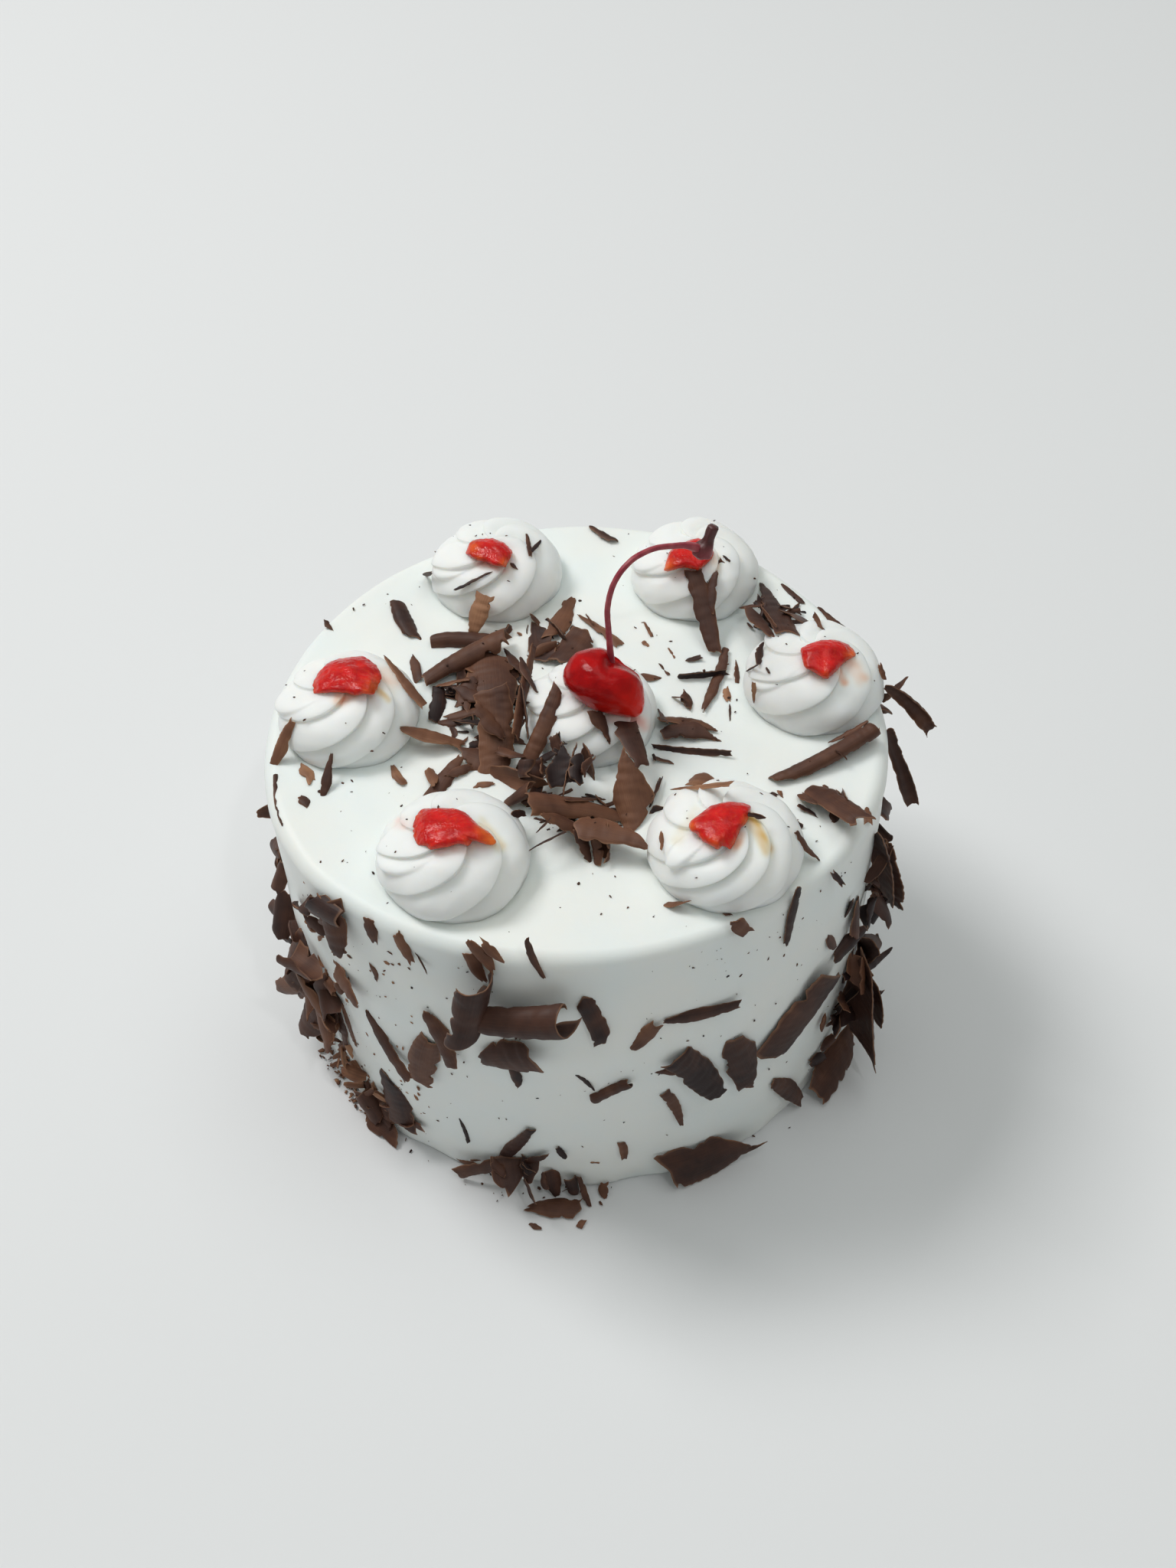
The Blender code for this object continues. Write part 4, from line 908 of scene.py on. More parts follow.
def curled_sheet(length, width, ends, roll, about, rng):
    """A shaving's middle surface with its length on x. Returns its points, how near each point is
    to an edge, its flat map and how much lighter its tone is there.
    Across it the heading turns by roll * (s + skew * s^2), where s is the way across from -0.5 to
    0.5, so the section is part of a spiral. Toward an end the strip narrows to the share that ends
    gives, off to one side. Its sides run in a few straight lines with bites broken out of them,
    its ends break off aslant, the roll opens, the section turns about its length, and cross waves
    buckle it."""
    rows = int(np.clip(length / GRID_STEP_LONG, 11, 52))
    columns = int(np.clip(width * (1 + roll / 240) / GRID_STEP_WIDE, 7, 33))
    turn = math.radians(max(roll, LEAST_ROLL))
    arc = turn * width / 2 if turn > math.pi else turn * width / (2 * math.sin(turn / 2))
    grade = np.linspace(-1, 1, rows)
    u = (0.5 * np.sign(grade) * (1 - (1 - np.abs(grade)) ** 1.25))[:, None]
    v = np.linspace(-0.5, 0.5, columns)[None]
    narrow = 1.0
    for end, share in zip((-0.5, 0.5), ends):
        reach = rng.uniform(*NARROW_REACH)
        narrow = narrow * (share + (1 - share) * np.clip(np.abs(u - end) / reach, 0, 1) ** NARROW_POWER)
    s = v * narrow + rng.uniform(-NARROW_ASIDE, NARROW_ASIDE) * (1 - narrow) * (0.5 + u)
    side = []
    for _ in range(2):
        broad = wander(rng, rows, 4)
        side.append(SIDE_BROAD * broad + SIDE_FINE * wander(rng, rows, max(rows // 2, 6)))
    bites = [chipped(rng, rows)[:, None] for _ in range(2)]
    s = s + np.where(v > 0, side[0][:, None], side[1][:, None]) * (2 * v) ** 2 * narrow
    s = s - np.sign(v) * np.where(v > 0, bites[0], bites[1]) * (2 * v) ** 4 * narrow
    breaks = []
    for _ in range(2):
        broad = wander(rng, columns, 3)
        breaks.append(BREAK_BROAD * broad + BREAK_FINE * wander(rng, columns, min(6, columns)))
    torn = min(TORN_OF_WIDTH * width, TORN_OF_LENGTH * length, TORN_MOST)
    x = length * u + torn * np.where(u > 0, breaks[0][None], breaks[1][None]) * np.abs(2 * u) ** 5
    x = x + rng.uniform(-SLANT, SLANT) * width * v * np.abs(2 * u) ** 2
    opens = 1 + rng.uniform(-ROLL_OPENS, ROLL_OPENS) * 2 * u
    heading = turn * opens * (s + rng.uniform(-ROLL_SKEW, ROLL_SKEW) * s**2)
    step = np.diff(s, axis=1, prepend=s[:, :1]) * arc
    between = (heading + np.concatenate([heading[:, :1], heading[:, :-1]], axis=1)) / 2
    y = np.cumsum(np.cos(between) * step, axis=1)
    z = np.cumsum(np.sin(between) * step, axis=1)
    middle = columns // 2
    y += s[:, middle:middle + 1] * arc - y[:, middle:middle + 1]
    z -= z[:, middle:middle + 1]
    z -= (z.max() + z.min()) / 2
    y += length * rng.uniform(*BOW_ACROSS) * (2 * u) ** 2
    z += length * rng.uniform(*BOW_UP) * (2 * u) ** 2
    spin = math.radians(about) + rng.uniform(-SPIN, SPIN) * u
    y, z = y * np.cos(spin) - z * np.sin(spin), y * np.sin(spin) + z * np.cos(spin)
    sheet = np.stack([x, y, z], -1)
    flat = np.stack([x * 1.6, s * arc * 0.5, 0 * x], -1)
    buckle = sum(uneven(flat, kind, rng.integers(1 << 30)) for kind in BUCKLES)
    sheet = sheet + sheet_normals(sheet) * buckle[..., None]
    edge = np.maximum(np.abs(2 * v), 1 - (0.5 - np.abs(u)) * length / (0.5 * width))
    edge = np.clip(edge, 0, 1) + 0 * x
    thin_side = np.clip(0.5 + v * rng.choice([-1, 1]), 0, 1) ** 5
    lighter = TONE_ALONG * wander(rng, rows, 5)[:, None] + TONE_ACROSS * wander(rng, columns, 4)[None]
    lighter = lighter + TONE_THIN * thin_side + rng.uniform(*TONE_SHIFT)
    return sheet, edge, np.stack([x, s * arc], -1), lighter + 0 * x


def sheet_normals(sheet):
    """Unit normals of a grid of points."""
    normal = np.cross(np.gradient(sheet, axis=0), np.gradient(sheet, axis=1))
    return normal / np.maximum(np.linalg.norm(normal, axis=-1, keepdims=True), 1e-12)


def solid_sheet(sheet, edge, thick):
    """Both faces of a sheet that thins toward its edges, under face first."""
    half = sheet_normals(sheet) * (thick / 2 * (THIN_SHEET + (1 - THIN_SHEET) * (1 - edge**5)))[..., None]
    return np.stack([sheet - half, sheet + half])


def sheet_faces(rows, columns):
    """Quads of both faces and of the rim round them, in the order of solid_sheet's points."""
    under = grid_faces(rows, columns, False)
    over = under[:, ::-1] + rows * columns
    index = np.arange(rows * columns).reshape(rows, columns)
    ring = np.concatenate([index[0], index[1:, -1], index[-1, -2::-1], index[-2:0:-1, 0]])
    after = np.roll(ring, -1)
    rim = np.stack([ring, ring + rows * columns, after + rows * columns, after], -1)
    return np.concatenate([under, over, rim])


def axes_between(start, end, up):
    """Axes of a shaving as rows: along from start to end, across, and out of the surface."""
    along = end - start
    length = np.linalg.norm(along)
    along = along / length
    out = up - along * (up @ along)
    out = out / np.linalg.norm(out)
    return np.array([along, np.cross(out, along), out]), length


def thickness(width, least=0.25):
    """A sheet's thickness: full from about 6 mm wide, and less where it is narrower."""
    return SHEET * min(1, least + width / 8)


def shaving(start, end, out, shape, thick, rng, step=1):
    """A shaving laid from start to end that faces out. shape is as in the tables: the width in mm,
    the share of it kept at both ends, roll and turn in degrees, and tone. Every step-th row and
    column of its grid is kept. Returns its faces, edge nearness, flat map, tone and own axes."""
    width, end0, end1, roll, about, tone = shape
    axes, length = axes_between(start, end, out)
    grids = curled_sheet(length, width * MM, (end0, end1), roll, about, rng)
    sheet, edge, flat, lighter = (grid[::step, ::step] for grid in grids)
    return (solid_sheet(sheet, edge, thick) @ axes + (start + end) / 2, edge, flat, tone + lighter), axes


def press_in(both, outward):
    """Moves a shaving straight in until its nearest point has sunk into the cream of the wall."""
    for _ in range(PRESSES):
        near = np.hypot(both[..., 0], both[..., 1]).min()
        both = both + outward * (CAKE_R - SUNK_IN_CREAM - near)
    return both


def finer(grid):
    """A grid with points added halfway between its own, in both directions."""
    for axis in (0, 1):
        n = grid.shape[axis]
        first, second = np.take(grid, range(n - 1), axis), np.take(grid, range(1, n), axis)
        mixed = np.stack([first, (first + second) / 2], axis + 1)
        shape = list(grid.shape)
        shape[axis] = 2 * (n - 1)
        grid = np.concatenate([mixed.reshape(shape), np.take(grid, [n - 1], axis)], axis)
    return grid


def cells(points):
    """Row and column of the height map's cell under each point."""
    place = ((points[..., :2] + FIELD_HALF) / CELL).astype(int)
    return tuple(np.moveaxis(np.clip(place, 0, FIELD_CELLS - 1), -1, 0))


def raise_to(heights, faces):
    """Raises a height map to a shaving's faces, so that later ones come to lie on it."""
    for face in faces:
        dense = finer(finer(face)).reshape(-1, 3)
        np.maximum.at(heights, cells(dense), dense[:, 2])


def coat_heights():
    """Height of the smooth coat over each cell, falling away round the rim."""
    side = (np.arange(FIELD_CELLS) + 0.5) * CELL - FIELD_HALF
    far = np.hypot(side[:, None], side[None])
    inside = np.clip(far - (CAKE_R - RIM_ROUND), 0, RIM_ROUND)
    return CAKE_H - RIM_ROUND + np.sqrt(RIM_ROUND**2 - inside**2)


def settle_down(both, ground, along, tilt_stays, sunk):
    """Lets a shaving down until a small share of it, YIELD, has met what lies under it. Where its
    tilt may change, it comes to rest on two points either side of its middle: of all lines through
    a gap before the middle and a gap behind it, it takes the one that is lowest at the middle."""
    samples = np.concatenate([finer(finer(face)).reshape(-1, 3) for face in both])
    gap = samples[:, 2] - ground[cells(samples)]
    middle = both.mean(axis=(0, 1, 2))
    flat = along[:2] / max(np.linalg.norm(along[:2]), 1e-9)
    if not tilt_stays:
        u = (samples - middle)[:, :2] @ flat
        bins = np.clip(((u - u.min()) / (np.ptp(u) + 1e-9) * BINS).astype(int), 0, BINS - 1)
        least = np.full(BINS, np.inf)
        for k in np.unique(bins):
            least[k] = np.quantile(gap[bins == k], 2 * YIELD)
        spot = u.min() + (np.arange(BINS) + 0.5) / BINS * np.ptp(u)
        half = BINS // 2
        back, front = spot[:half, None], spot[None, half:]
        at_middle = (least[:half, None] * front - least[None, half:] * back) / (front - back)
        i, j = np.unravel_index(np.argmin(at_middle), at_middle.shape)
        slope = np.clip((least[half + j] - least[i]) / (spot[half + j] - spot[i]), -STEEPEST, STEEPEST)
        both = both - ((both - middle)[..., :2] @ flat * slope)[..., None] * UPWARD
        gap = gap - u * slope
    return both - [0, 0, np.quantile(gap, YIELD) + sunk]


def chocolate_material():
    """Matt brown chocolate with scrape lines along each shaving, a dusty bloom in patches and tan
    along the edges, partly thin chocolate and partly a painted highlight. Its tone ramp is partly
    painted light and shade. The flat map holds metres along and across the shaving."""
    made, tree, shader = plain_material("chocolate", BROWN, CHOCOLATE_ROUGHNESS)
    shader.inputs["Specular IOR Level"].default_value = CHOCOLATE_SHINE
    links, nodes = tree.links, tree.nodes
    flat = nodes.new("ShaderNodeUVMap")
    flat.uv_map = "strip"
    stretch = nodes.new("ShaderNodeMapping")
    stretch.inputs["Scale"].default_value = LINES_STRETCH
    links.new(flat.outputs["UV"], stretch.inputs["Vector"])
    lines, bloom = nodes.new("ShaderNodeTexNoise"), nodes.new("ShaderNodeTexNoise")
    place = nodes.new("ShaderNodeTexCoord").outputs["Object"]
    tone = nodes.new("ShaderNodeAttribute")
    tone.attribute_name = "tone"
    total = tone.outputs["Fac"]
    for noise, source, scale, detail, much in (
        (lines, stretch.outputs["Vector"], 1.0, LINES_DETAIL, LINES_MUCH),
        (bloom, place, BLOOM_SCALE, BLOOM_DETAIL, BLOOM_MUCH),
    ):
        noise.inputs["Scale"].default_value = scale
        noise.inputs["Detail"].default_value = detail
        links.new(source, noise.inputs["Vector"])
        more = nodes.new("ShaderNodeMath")
        more.operation = "MULTIPLY_ADD"
        more.inputs[1].default_value = much
        links.new(noise.outputs["Fac"], more.inputs[0])
        links.new(total, more.inputs[2])
        total = more.outputs["Value"]
    ramp = nodes.new("ShaderNodeValToRGB")
    stops = ramp.color_ramp.elements
    stops[0].position, stops[0].color = TONE_STOPS[0]
    stops[1].position, stops[1].color = TONE_STOPS[-1]
    for position, colour in TONE_STOPS[1:-1]:
        stop = stops.new(position)
        stop.color = colour
    links.new(total, ramp.inputs["Fac"])
    # Edge nearness: the tan band along the edges, partly a painted highlight
    thin = nodes.new("ShaderNodeAttribute")
    thin.attribute_name = "thin"
    near = nodes.new("ShaderNodeMapRange")
    near.inputs["From Min"].default_value = EDGE_FROM
    near.inputs["To Max"].default_value = EDGE_MUCH
    links.new(thin.outputs["Fac"], near.inputs["Value"])
    broken = nodes.new("ShaderNodeMath")
    broken.operation = "MULTIPLY"
    links.new(near.outputs["Result"], broken.inputs[0])
    links.new(bloom.outputs["Fac"], broken.inputs[1])
    edge = nodes.new("ShaderNodeMix")
    edge.data_type = "RGBA"
    edge.inputs["B"].default_value = TAN
    links.new(broken.outputs["Value"], edge.inputs["Factor"])
    links.new(ramp.outputs["Color"], edge.inputs["A"])
    links.new(edge.outputs["Result"], shader.inputs["Base Color"])
    add_bump(tree, shader, lines.outputs["Fac"], *CHOCOLATE_BUMP)
    return made


CHOCOLATE = chocolate_material()


def chocolate_piece(name, solids, nodes):
    """Joins laid shavings into one piece. Each is its points, edge nearness, flat map and tone."""
    points, faces, thin, tones, maps, start = [], [], [], [], [], 0
    for number, (both, edge, flat, tone) in enumerate(solids):
        rows, columns = edge.shape
        faces.append(sheet_faces(rows, columns) + start)
        points.append(both.reshape(-1, 3))
        thin.append(np.tile(edge.ravel(), 2))
        tones.append(np.tile(tone.ravel(), 2))
        maps.append(np.tile(flat.reshape(-1, 2), (2, 1)) + 0.037 * number)
        start += 2 * rows * columns
    faces = np.concatenate(faces)
    values = {"thin": np.concatenate(thin), "tone": np.concatenate(tones)}
    points = lean_back(np.concatenate(points))
    maps = np.concatenate(maps)
    piece(name, points, faces, CHOCOLATE, nodes, values, maps, CRISP)


# The shavings on the top
# They lie in a loose heap left of the whole cherry and in front of it, a smaller heap against the
# right rosette, and one by one between the rosettes.
ground = coat_heights()
for key in SWIRLS:
    cream = cream_points(key)
    np.maximum.at(ground, cells(cream), cream[:, 2])
# Where each end lies as seen on the level of the top, x and y, then the width seen, the share of
# it kept at each end, the roll and the turn about its length in degrees, and a tone from 0 dark
# to 1 tan, partly painted shade and light. A seventh pair, where there is one, is how high the ends stand
# over the others
HEAP = (
    (-42.0, 37.6, -24.0, 36.6, 5.0, 1, 0.9, 200, 180, 0.34),
    (-30.0, 21.0, -17.0, 23.5, 13.0, 0.6, 0.6, 30, 180, 0.30),
    (-39.2, 17.5, -40.2, 3.0, 5.0, 0.6, 0.5, 90, 160, 0.04),
    (-9.5, 41.5, -8.5, 27.0, 8.0, 0.5, 0.9, 50, 10, -0.05),
    (-37.0, 4.0, -27.0, 6.5, 3.6, 0.5, 0.9, 60, 180, 0.30),
    (-24.0, 31.0, -22.5, 9.0, 14.0, 0.7, 0.8, 60, 180, 0.22),
    (-29.5, 20.0, -33.0, 8.5, 6.5, 0.5, 0.6, 60, 180, 0.30),
    (-50.5, 0.5, -31.0, -6.5, 6.8, 0.1, 0.6, 50, 170, 0.38),
    (-20.5, 31.0, -14.0, 20.0, 5.0, 0.2, 0.6, 70, 150, 0.20),
    (-32.0, -10.0, -21.5, -16.0, 8.0, 0.4, 0.7, 60, 190, 0.30),
    (-22.4, 14.5, -22.6, -17.5, 10.6, 0.9, 0.8, 40, 180, 0.32),
    (-43.5, 21.0, -19.0, 38.0, 6.6, 0.6, 0.9, 250, 150, 0.36, 1.5, 1.5),
    (-40.5, 17.4, -29.5, 19.6, 3.2, 0.1, 0.3, 60, 150, 0.40),
    (-20.5, 38.0, -18.0, 42.0, 3.6, 0.8, 0.5, 120, 90, 0.30, 0, 2),
    (-54.5, 27.5, -43.0, 10.0, 4.0, 0.15, 0.7, 60, 165, 0.50),
    (-48.2, 31.0, -45.8, 20.0, 3.8, 0.05, 0.8, 60, 200, 0.34),
    (0.8, 53.5, -5.0, 37.0, 6.8, 0.45, 1, 70, 170, 0.34),
    (4.0, 37.5, -3.0, 26.0, 9.5, 0.8, 0.9, 40, 180, 0.30),
    (-4.5, 33.5, -13.5, 27.5, 3.4, 0.5, 0.3, 60, 120, 0.34, 1, 0),
    (3.0, 46.0, 15.0, 33.0, 4.2, 0.1, 0.8, 80, 160, 0.42),
    (-11.0, 33.0, -16.5, -4.0, 4.6, 0.4, 0.7, 60, 120, 0.38, 2.5, 1.0),
    (-14.5, 16.0, -13.0, -4.0, 3.6, 0.5, 0.2, 60, 80, 0.03),
    (-32.5, -11.5, -42.0, -30.0, 4.8, 0.3, 0.9, 80, 170, 0.28),
    (-3.5, 12.5, -14.8, -18.0, 4.8, 0.7, 0.9, 90, 170, 0.30, 2.0, 0.5),
    (-23.5, -18.0, -8.5, -23.5, 6.5, 0.5, 0.3, 110, 60, 0.38),
    (-12.4, -13.5, -12.6, -20.5, 6.4, 1, 1, 320, 0, 0.10, 3.5, 0),
    (-4.6, -10.0, -4.0, -24.0, 9.0, 0.1, 0.8, 90, 0, -0.10, 5, 0),
    (0.8, -11.5, -0.2, -22.0, 6.0, 0.3, 0.5, 230, 80, -0.05, 3, 0),
    (4.2, -13.0, 1.4, -20.0, 4.0, 0.2, 0.4, 240, 90, 0.30, 3.5, 1),
    (0.0, -8.5, -4.0, -27.0, 2.8, 0.5, 0.2, 60, 80, 0.22, 3, 0),
    (3.0, -10.0, 4.0, -20.5, 4.6, 0.4, 0.6, 120, 60, 0.24, 2, 0),
    (-20.0, -29.0, -13.0, -25.5, 4.2, 0.7, 1, 200, 170, 0.22),
    (-13.0, -29.5, 14.0, -34.0, 8.6, 0.9, 0.15, 130, 175, 0.36),
    (-3.5, -29.0, 8.5, -24.0, 3.4, 0.3, 0.05, 60, 160, 0.16, 0, 1),
    (5.2, -27.5, 8.2, -31.5, 1.4, 0.5, 0.5, 60, 120, 0.46),
    (-9.0, -35.5, 2.0, -40.5, 5.6, 0.2, 1, 60, 180, 0.26),
    (0.5, -40.0, 3.0, -50.5, 4.4, 1, 0.3, 100, 150, 0.28),
    (5.6, -40.0, 6.4, -51.5, 4.2, 1, 1, 320, 0, 0.30, 1, 0),
    (1.0, -38.0, 19.0, -43.5, 8.8, 0.9, 0.25, 50, 180, 0.38, 1, 0),
    (-13.0, -45.2, -3.0, -40.0, 0.8, 0.2, 0.8, 60, 0, 0.10),
    (-11.0, -38.5, -6.5, -34.8, 0.8, 0.3, 0.8, 60, 0, 0.10),
    (14.5, 0.5, 19.0, -18.0, 8.0, 1, 0.7, 90, 150, 0.06, 2.5, 0),
    (6.0, 4.5, 9.8, -7.5, 5.0, 1, 0.05, 60, 160, 0.26, 1, 0),
    (23.5, -22.5, 20.5, -33.0, 2.8, 0.1, 0.8, 70, 80, 0.08),
    (24.5, -22.0, 21.0, -29.5, 0.9, 0.2, 0.8, 60, 0, 0.05, 1.5, 0),
    (20.5, -34.0, 24.5, -34.2, 2.6, 1, 0.2, 90, 60, 0.05),
    (-17.5, -34.5, -14.0, -31.5, 2.6, 0.8, 0.6, 60, 60, 0.16),
    (-28.0, 8.0, -20.0, -4.0, 6.0, 0.4, 0.2, 60, 170, 0.30, 0.5, 0.5),
    (-33.5, 16.5, -27.0, 10.0, 5.0, 0.3, 0.5, 50, 190, 0.22),
    (-22.0, -6.0, -14.5, -13.0, 5.0, 0.7, 0.2, 60, 160, 0.26),
    (-29.5, -15.5, -36.0, -19.0, 3.2, 0.8, 0.1, 60, 160, 0.36),
    (-7.0, 44.5, -2.0, 36.0, 3.4, 0.1, 0.8, 70, 100, 0.10),
    (-15.5, 27.5, -11.0, 12.0, 3.4, 0.2, 0.4, 60, 150, 0.22),
    (10.5, -27.5, 17.5, -33.0, 3.4, 0.2, 0.6, 60, 90, 0.04),
    (13.6, -12.5, 16.8, -39.5, 11.5, 0.1, 0.2, 70, 175, 0.42, 1.5, 0),
)
RIGHT_HEAP = (
    (54.0, 46.5, 57.5, 30.5, 6.2, 0.3, 0.3, 60, 170, 0.20),
    (59.4, 59.5, 62.5, 32.0, 8.4, 0.05, 0.9, 60, 175, 0.16, 1, 0),
    (64.0, 39.0, 73.5, 38.0, 8.0, 0.7, 0.8, 50, 180, 0.26),
    (57.0, 46.5, 59.8, 35.0, 1.4, 0.3, 0.6, 60, 90, 0.52, 2, 1),
    (63.0, 44.5, 67.5, 45.5, 2.2, 0.6, 0.2, 60, 0, 0.5),
    (71.5, 38.0, 73.0, 33.0, 1.8, 0.8, 0.1, 60, 60, 0.3),
)
SINGLES = (
    (-54.2, 55.5, -48.6, 38.0, 5.6, 0.7, 0.8, 110, 165, 0.12),
    (-26.0, 54.5, -29.5, 41.0, 7.0, 1, 0.4, 60, 180, 0.70),
    (-34.8, 57.8, -23.5, 64.5, 1.8, 0.7, 0.3, 90, 160, 0.12),
    (-12.6, 82.0, -11.6, 71.0, 1.8, 0.3, 0.7, 60, 160, 0.14),
    (-8.2, 79.0, -11.6, 72.5, 1.3, 0.3, 0.8, 60, 160, 0.14),
    (-17.5, 68.5, -16.0, 65.5, 1.8, 0.5, 0.5, 60, 160, 0.2),
    (-42.5, 82.5, -41.0, 80.5, 2.2, 0.5, 0.5, 60, 160, 0.05),
    (-45.5, 68.5, -43.0, 65.0, 2.6, 0.5, 0.2, 60, 160, 0.05),
    (-75.5, 48.0, -74.0, 43.5, 2.6, 0.5, 0.2, 60, 160, 0.2),
    (-12.5, 46.2, -9.5, 43.5, 2.8, 0.2, 0.6, 60, 160, 0.35),
    (-16.5, 39.0, -15.0, 38.4, 1.9, 0.5, 0.5, 60, 160, 0.7),
    (-13.2, 42.5, -13.6, 38.5, 0.9, 0.2, 0.5, 60, 60, 0.0),
    (4.6, 46.5, 6.6, 41.6, 0.9, 0.2, 0.8, 60, 60, 0.25),
    (22.4, 42.0, 24.6, 35.0, 1.3, 0.3, 0.8, 90, 160, 0.45),
    (21.8, 33.0, 23.4, 31.0, 2.2, 0.8, 0.3, 60, 160, 0.65),
    (29.0, 30.5, 31.2, 24.5, 1.1, 0.2, 0.7, 60, 160, 0.6),
    (34.0, 24.2, 39.0, 26.0, 2.9, 0.6, 0.5, 90, 160, 0.12),
    (45.0, 12.2, 44.9, 6.8, 3.0, 0.5, 0.4, 60, 180, 0.68),
    (51.8, 12.5, 52.2, 6.2, 2.0, 0.5, 0.2, 60, 180, 0.66),
    (48.9, 23.2, 48.6, 14.0, 2.0, 0.1, 0.8, 70, 160, 0.38),
    (55.6, 30.2, 53.2, 20.2, 2.6, 0.1, 0.4, 80, 160, 0.10),
    (50.5, 19.6, 53.0, 19.2, 1.2, 0.4, 0.6, 60, 160, 0.12),
    (55.8, 19.4, 56.2, 16.6, 1.2, 0.4, 0.6, 60, 160, 0.1),
    (38.2, 3.4, 47.0, 28.4, 3.6, 0.3, 0.8, 90, 160, 0.22),
    (31.0, 17.6, 45.8, 18.8, 2.8, 0.7, 0.7, 110, 100, 0.04),
    (25.0, 24.8, 28.8, 18.5, 1.4, 0.2, 0.8, 60, 160, 0.34),
    (20.5, 18.5, 26.8, 17.0, 4.0, 0.8, 0.05, 70, 160, 0.38),
    (32.0, 10.6, 34.6, 5.4, 5.4, 0.5, 0.4, 80, 150, 0.26),
    (28.6, 9.4, 32.5, 8.4, 1.4, 0.1, 0.8, 60, 150, 0.22),
    (25.0, 1.0, 40.5, -2.2, 6.2, 0.9, 0.1, 70, 150, 0.26),
    (25.4, -4.2, 40.8, -5.6, 6.0, 0.7, 0.05, 70, 190, 0.22),
    (24.5, 4.5, 26.0, -1.0, 2.2, 0.05, 1, 60, 150, 0.20),
    (22.0, -10.4, 44.6, -14.2, 2.2, 0.6, 0.8, 100, 60, 0.04),
    (22.2, -14.4, 27.6, -17.0, 2.2, 0.8, 0.4, 70, 150, 0.24),
    (22.3, -13.2, 22.6, -16.0, 1.3, 0.5, 0.5, 70, 150, 0.05),
    (45.6, 5.6, 45.2, -1.2, 0.8, 0.3, 0.3, 60, 150, 0.05),
    (26.0, -29.0, 41.0, -29.6, 2.6, 0.05, 0.9, 50, 180, 0.66),
    (34.6, -29.5, 37.0, -22.0, 8.4, 1, 0.5, 60, 180, 0.62),
    (22.5, -41.0, 22.2, -47.5, 1.6, 0.4, 0.3, 60, 160, 0.55),
    (54.0, -29.6, 55.8, -30.8, 1.8, 0.6, 0.6, 60, 160, 0.05),
    (56.6, -28.8, 56.9, -31.4, 1.6, 0.8, 0.4, 60, 160, 0.5),
    (54.4, -31.0, 61.2, -42.6, 1.5, 0.3, 0.8, 80, 60, 0.02),
    (58.2, -43.6, 64.8, -55.2, 3.4, 0.6, 0.1, 80, 160, 0.20),
    (61.6, -34.6, 66.0, -38.2, 3.0, 0.7, 0.2, 60, 150, 0.05),
    (79.4, -35.0, 79.9, -41.4, 2.8, 0.5, 0.8, 60, 180, 0.48),
    (55.5, -26.2, 86.5, -8.0, 5.0, 0.4, 1, 290, 150, 0.24),
    (72.5, -9.8, 83.5, -4.0, 2.4, 0.5, 0.3, 110, 150, 0.28),
    (66.4, -28.4, 76.5, -40.4, 8.8, 0.8, 0.7, 60, 180, 0.16),
    (62.2, -30.0, 65.2, -34.2, 4.2, 0.5, 0.6, 60, 160, 0.28),
    (73.0, -14.0, 76.5, -18.0, 0.9, 0.8, 0.3, 60, 160, 0.2),
    (-52.6, -13.6, -49.0, -21.0, 3.4, 0.2, 0.7, 90, 170, 0.62),
    (-41.4, -16.0, -38.6, -21.8, 3.8, 0.6, 0.4, 80, 170, 0.58),
    (-28.6, -22.6, -22.8, -22.4, 3.2, 0.5, 0.4, 80, 170, 0.60),
    (-68.4, -7.0, -71.0, -22.5, 2.8, 0.2, 0.5, 60, 170, 0.14),
    (-78.0, -12.0, -74.0, -18.0, 4.4, 0.4, 0.6, 60, 170, 0.66),
    (-79.8, 4.0, -86.4, -11.5, 4.6, 0.4, 0.6, 80, 170, 0.56),
    (-85.6, -16.0, -82.2, -35.0, 2.0, 0.6, 0.3, 80, 170, 0.14),
    (-77.0, -24.5, -75.0, -28.0, 3.6, 0.5, 0.5, 60, 170, 0.30),
    (7.4, 87.4, 15.0, 80.0, 3.6, 0.5, 0.8, 100, 150, 0.12),
    (65.6, 57.2, 72.0, 47.6, 3.0, 0.3, 0.5, 80, 170, 0.22),
    (76.0, 46.0, 84.8, 31.5, 3.4, 0.3, 0.6, 90, 170, 0.20),
    (88.6, 23.4, 91.0, 20.0, 2.0, 0.3, 0.3, 60, 170, 0.08),
    (88.8, 19.0, 90.4, 13.0, 2.6, 0.5, 0.4, 60, 170, 0.42),
    (-38.0, -68.5, -35.5, -71.5, 2.2, 0.5, 0.5, 60, 160, 0.1),
    (22.4, -65.0, 29.2, -68.2, 3.0, 0.7, 0.1, 70, 160, 0.34),
    (39.0, -71.0, 41.2, -73.0, 2.0, 0.5, 0.5, 60, 160, 0.1),
    (69.0, -57.4, 71.6, -61.0, 2.8, 0.4, 0.6, 60, 160, 0.05),
    (47.0, 68.0, 49.0, 65.6, 1.6, 0.5, 0.5, 60, 160, 0.1),
)
# A bed of small dark bits under the heaps: its middle, its half sizes, its turn in degrees and how
# many bits there are
BEDS = (
    (-25.5, 7.0, 12.5, 25.0, 0, 60),
    (-2.0, -34.0, 15.0, 8.0, -14, 30),
    (-10.0, -14.0, 8.0, 9.0, 0, 22),
    (-5.0, 35.0, 8.0, 9.0, 0, 14),
)
RIGHT_BEDS = ((62.0, 41.5, 9.0, 8.0, 0, 18), (72.0, -33.0, 5.0, 6.0, 0, 6))
# Each bit's length, ends, width as a share of its length, roll, turn and tone
BIT_LONG, BIT_ENDS, BIT_WIDE = (2.5, 8.0), (0.1, 0.9), (0.25, 0.55)
BIT_ROLL, BIT_TURNS, BIT_TONE = (40, 170), (0, 70, 150, 180), (-0.10, 0.26)
